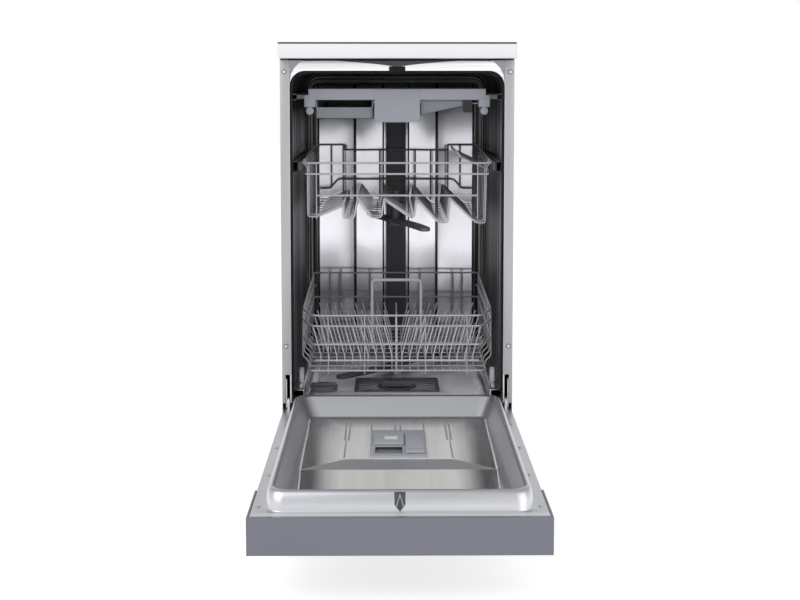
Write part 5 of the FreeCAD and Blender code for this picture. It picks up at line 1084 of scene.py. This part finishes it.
class DISHWASHER_OT_lower_basket(bpy.types.Operator):
    """Bends the lower basket's wires, its tine rows and wheels"""

    bl_idname = "dishwasher.lower_basket"
    bl_label = "Lower basket"

    near, far, bow, half, floor, top = 50, 495, 96, 188, 203, 335
    tine_feet = [x - math.copysign(6, x) if abs(x) > 1 else 0 for x in even(-160, 160, 21)]

    def execute(self, context):
        size, near, far = sizes(), self.near, self.far
        with stand_in("lower_basket", "coated_wire") as bm:
            add_wires(bm, self.frames(size), size.frame_wire)
            uprights = [run((x, far - 1, self.top), (x, far - 1, self.floor))
                        for x in (-152, -131, -60, 55, 131, 152)]
            add_wires(bm, uprights, STANDING_SHARE * size.frame_wire)
            lines = self.hoops()
            lines += [run((x, near + 1, 205.3), (x, far - 2, 205.3)) for x in self.tine_feet]
            lines += [run((x, near + 1.5, 313), (x, near + 1.5, 196)) for x in (-136, -64, -2.5, 56, 138)]
            add_wires(bm, lines, size.mesh_wire, 1)
        # The tines wear the lighter wire of painted highlight
        with new_piece("lower_basket_combs", "lower_rack", "tine_wire", "coated_wire") as bm:
            for y in (220, 405):
                add_wires(bm, self.tines(y, 206), TINE_SHARE * size.mesh_wire, 1)
        with new_piece("basket_grip", "lower_rack", "wheel_plastic", "grey_plastic") as bm:
            hoop = both_sides((-52, 266, 204), (-52, 266, 352))
            add_wires(bm, [bend(hoop, 8 * MM)], size.grip_wire)
        for node, y in (("front_tine_row", 125), ("rear_tine_row", 305)):
            with stand_in(node, "tine_wire", "coated_wire") as bm:
                add_wires(bm, [both_sides((-166, y, 207.9))], 2.2 * MM)
                add_wires(bm, self.tines(y, 208), TINE_SHARE * size.mesh_wire, 1)
        soften("wheel_plastic", 0.8, *corner_nodes("wheel"), slot="grey_plastic")
        return {"FINISHED"}

    def frames(self, size):
        """The three bowed rails, of which two are closed at the back, and the floor's frame."""
        near, far, half, out = self.near, self.far, self.half, []
        for low, high, closed in ((313, self.top, True), (292, 306, False), (255.5, 279, True)):
            rail = both_sides((4 - half, far, high), (-half, far - 6, high), (-half, self.bow, low + 6),
                              (-168, near, low))
            out.append(bend(rail, size.wire_bend))
            if closed:
                out.append(both_sides((4 - half, far, high)))
        corner = (-176, far, self.floor)
        floor = both_sides(corner, (-176, near, self.floor)) + run(corner)
        return out + [bend(floor, size.wire_bend)]

    def hoops(self):
        """The wires that run down one side, under the floor and up the other."""
        out = []
        for y in even(self.bow, self.far - 8, 10):
            rail = 319 + 16 * (y - self.bow) / (self.far - self.bow)
            hoop = both_sides((-188, y, rail), (-189, y, 224), (-177.5, y, 213), (-177, y, self.floor))
            out.append(bend(hoop, 5 * MM, 3))
        return out

    def tines(self, depth, low, high=280):
        """A row of upright wires, each half leaning to its own side."""
        lean = math.tan(sizes().tine_lean) * (high - low)
        out = []
        for x in self.tine_feet:
            side = 0 if abs(x) < 1 else math.copysign(1, x)
            out.append(bend(cross(depth, ((x, low), (x, low + 10), (x + side * lean, high))), 8 * MM, 3))
        return out


class DISHWASHER_OT_cutlery_tray(bpy.types.Operator):
    """Builds the cutlery tray that slides under the tub's roof"""

    bl_idname = "dishwasher.cutlery_tray"
    bl_label = "Cutlery tray"

    near, far = 40, 490

    def execute(self, context):
        near, far = self.near, self.far
        with stand_in("cutlery_tray", "grey_plastic") as bm:
            block(bm, (-172, near + 1.2, 736), (172, near + 9, 758), 2.0, 3)
            block(bm, (-172, far - 6, 738), (172, far, 758), 1.5)
            mirrored_blocks(bm, (166, near + 4, 738), (172, far - 4, 757), 1.2)
            self.handle(bm)
            block(bm, (-48, near + 6, 731), (48, far - 4, 734), 0.8)
            for y in even(near + 40, far - 40, 8):
                block(bm, (-40, y, 733), (40, y + 2, 740), 0.6)
            mirrored_blocks(bm, (158, near + 2, 722), (180, near + 22, 746), 2.0)
            for side in SIDES:
                disc(bm, (side * 169, near + 3, 715), 7.5, 15, 1.2, BACK)
            mirrored_blocks(bm, (171, near + 20, 738), (195.6, near + 60, 746), 1.0)
            mirrored_blocks(bm, (171, far - 70, 738), (195.6, far - 20, 746), 1.0)
        # The pans wear a darker copy of the grey plastic, painted shade
        with new_piece("cutlery_pans", "cutlery_rack", "pan_plastic", "grey_plastic") as bm:
            ribs = even(near + 34, far - 30, 16)
            self.left_pan(bm, near + 8, far - 6, ribs)
            self.right_pan(bm, near + 8, far - 6, ribs)
        with new_piece("tray_clip", "cutlery_rack", "black_plastic", "dark_plastic") as bm:
            block(bm, (128, near + 3, 712), (146, near + 8, 736), 1.5)
            block(bm, (132, near + 2, 716), (142, near + 4, 726), 1.0)
        return {"FINISHED"}

    def handle(self, bm):
        """The pull plate under the front bar, with round lower corners."""
        half, foot, top, corner = 44, 693, 757, 8
        right = [(half - corner + corner * math.sin(a), foot + corner - corner * math.cos(a))
                 for a in even(0, math.pi / 2, 7)] + [(half, top)]
        outline = [(-x, z) for x, z in reversed(right)] + right
        prism(bm, cross(self.near, outline), BACK * 3.4 * MM, 1.0)

    def left_pan(self, bm, start, stop, ribs):
        """The deep pan with a level floor."""
        floor, lip = 700, 735
        block(bm, (-158, start, floor), (-46, stop, floor + 2.5))
        block(bm, (-158, start, floor), (-46, start + 3, 722))
        block(bm, (-158, stop - 3, floor), (-46, stop, lip))
        for x in (-158, -49):
            block(bm, (x, start, floor), (x + 3, stop, lip))
        block(bm, (-167, start, 733), (-156, stop, 736))
        for y in ribs:
            block(bm, (-156, y, floor + 2), (-48, y + 2, floor + 12), 0.6)

    def right_pan(self, bm, start, stop, ribs):
        """The shallow pan, whose floor slopes up to the side."""
        slope = ((44, 707), (140, 727.5), (140, 730), (44, 709.5))
        face = ((44, 708), (140, 728.5), (140, 736), (44, 736))
        rib = ((48, 709), (138, 728.5), (138, 734), (48, 718))
        prism(bm, cross(start, slope), BACK * (stop - start) * MM)
        for y in (start, stop - 3):
            prism(bm, cross(y, face), BACK * 3 * MM)
        block(bm, (44, start, 707), (47, stop, 735))
        block(bm, (138, start, 728), (167, stop, 731))
        for y in ribs:
            prism(bm, cross(y, rib), BACK * 2 * MM, 0.5)


class DISHWASHER_OT_stage(bpy.types.Operator):
    """Sets the floor, the soft studio light and the camera"""

    bl_idname = "dishwasher.stage"
    bl_label = "Stage"

    # Each softbox: name, place, aim, width and power
    softboxes = (("key_softbox", (-2.3, -2.3, 3.1), (0, 0, 0.5), 3.6, 61),
                 ("fill_softbox", (2.2, -2.3, 1.6), (0, 0, 0.4), 2.6, 22))

    def execute(self, context):
        context.scene.view_settings.view_transform = "Standard"
        self.floor()
        self.sky(context.scene)
        self.lamps()
        self.camera(context.scene)
        return {"FINISHED"}

    def looks(self, tree):
        """One where the camera looks at the stage, and one where a mirror or a glass does."""
        path = add_node(tree, "ShaderNodeLightPath").outputs
        mirrored = maths(tree, "MAXIMUM", path["Is Glossy Ray"], path["Is Transmission Ray"])
        return path["Is Camera Ray"], mirrored

    def floor(self):
        bm = bmesh.new()
        bmesh.ops.create_grid(bm, x_segments=1, y_segments=1, size=12.0)
        mesh = bpy.data.meshes.new("stage_floor")
        bm.to_mesh(mesh)
        bm.free()
        material = bpy.data.materials.new("stage_floor")
        material.use_nodes = True
        tree = material.node_tree
        glow = maths(tree, "MULTIPLY", maths(tree, "MAXIMUM", *self.looks(tree)), 0.60)
        set_inputs(tree, tree.nodes["Principled BSDF"], {
            "Base Color": (0.9, 0.9, 0.9, 1), "Roughness": 0.9, "Specular IOR Level": 0.0,
            "Emission Color": WHITE, "Emission Strength": glow})
        mesh.materials.append(material)
        made = add_object("stage_floor", mesh)

    def sky(self, scene):
        world = bpy.data.worlds.new("studio")
        scene.world = world
        world.use_nodes = True
        tree = world.node_tree
        height = along(tree, add_node(tree, "ShaderNodeTexCoord").outputs["Generated"], "Z")
        ceiling = ramp(tree, height, 0.05, 0.6, 1.0, 0.45)
        seen, mirrored = self.looks(tree)
        level = maths(tree, "MULTIPLY", ceiling, maths(tree, "MULTIPLY_ADD", mirrored, 0.1, 0.9))
        set_inputs(tree, tree.nodes["Background"], {
            "Color": WHITE, "Strength": maths(tree, "MAXIMUM", level, seen)})

    def lamps(self):
        for name, place, aim, width, power in self.softboxes:
            lamp = bpy.data.lights.new(name, "AREA")
            lamp.shape = "RECTANGLE"
            lamp.size = lamp.size_y = width
            lamp.energy = power
            made = add_object(name, lamp)
            made.location = place
            made.rotation_euler = (Vector(aim) - Vector(place)).to_track_quat("-Z", "Y").to_euler()

    def camera(self, scene):
        lens = bpy.data.cameras.new("photo_camera")
        lens.lens = 59.71
        lens.sensor_width = 36.0
        lens.shift_y = -0.125
        lens.dof.use_dof = False
        made = add_object("photo_camera", lens)
        made.location = (-0.0157, -2.4744, 0.7653)
        made.rotation_euler = (math.radians(85.041), 0, math.radians(-0.474))
        scene.camera = made


OPERATORS = (DISHWASHER_OT_cabinet, DISHWASHER_OT_tub, DISHWASHER_OT_machinery, DISHWASHER_OT_spray_arms,
             DISHWASHER_OT_filter, DISHWASHER_OT_door_liner, DISHWASHER_OT_door, DISHWASHER_OT_dispenser,
             DISHWASHER_OT_upper_basket, DISHWASHER_OT_lower_basket, DISHWASHER_OT_cutlery_tray,
             DISHWASHER_OT_stage)


class DISHWASHER_PT_sidebar(bpy.types.Panel):
    """Lists the dishwasher's sizes, colours and pieces"""

    bl_idname = "DISHWASHER_PT_sidebar"
    bl_label = "Dishwasher"
    bl_space_type = "VIEW_3D"
    bl_region_type = "UI"
    bl_category = "Dishwasher"

    def draw(self, context):
        for group in (context.scene.dishwasher_sizes, context.scene.dishwasher_colours):
            column = self.layout.column()
            for name in group.__annotations__:
                column.prop(group, name)
        for operator in OPERATORS:
            self.layout.operator(operator.bl_idname)


CLASSES = (DishwasherSizes, DishwasherColours, *OPERATORS, DISHWASHER_PT_sidebar)


def register():
    for cls in CLASSES:
        bpy.utils.register_class(cls)
    bpy.types.Scene.dishwasher_sizes = bpy.props.PointerProperty(type=DishwasherSizes)
    bpy.types.Scene.dishwasher_colours = bpy.props.PointerProperty(type=DishwasherColours)


def unregister():
    del bpy.types.Scene.dishwasher_colours
    del bpy.types.Scene.dishwasher_sizes
    for cls in reversed(CLASSES):
        bpy.utils.unregister_class(cls)


def main():
    register()
    make_finishes(bpy.context.scene.dishwasher_colours)
    for operator in OPERATORS:
        area, name = operator.bl_idname.split(".")
        getattr(getattr(bpy.ops, area), name)()


if __name__ == "__main__":
    main()
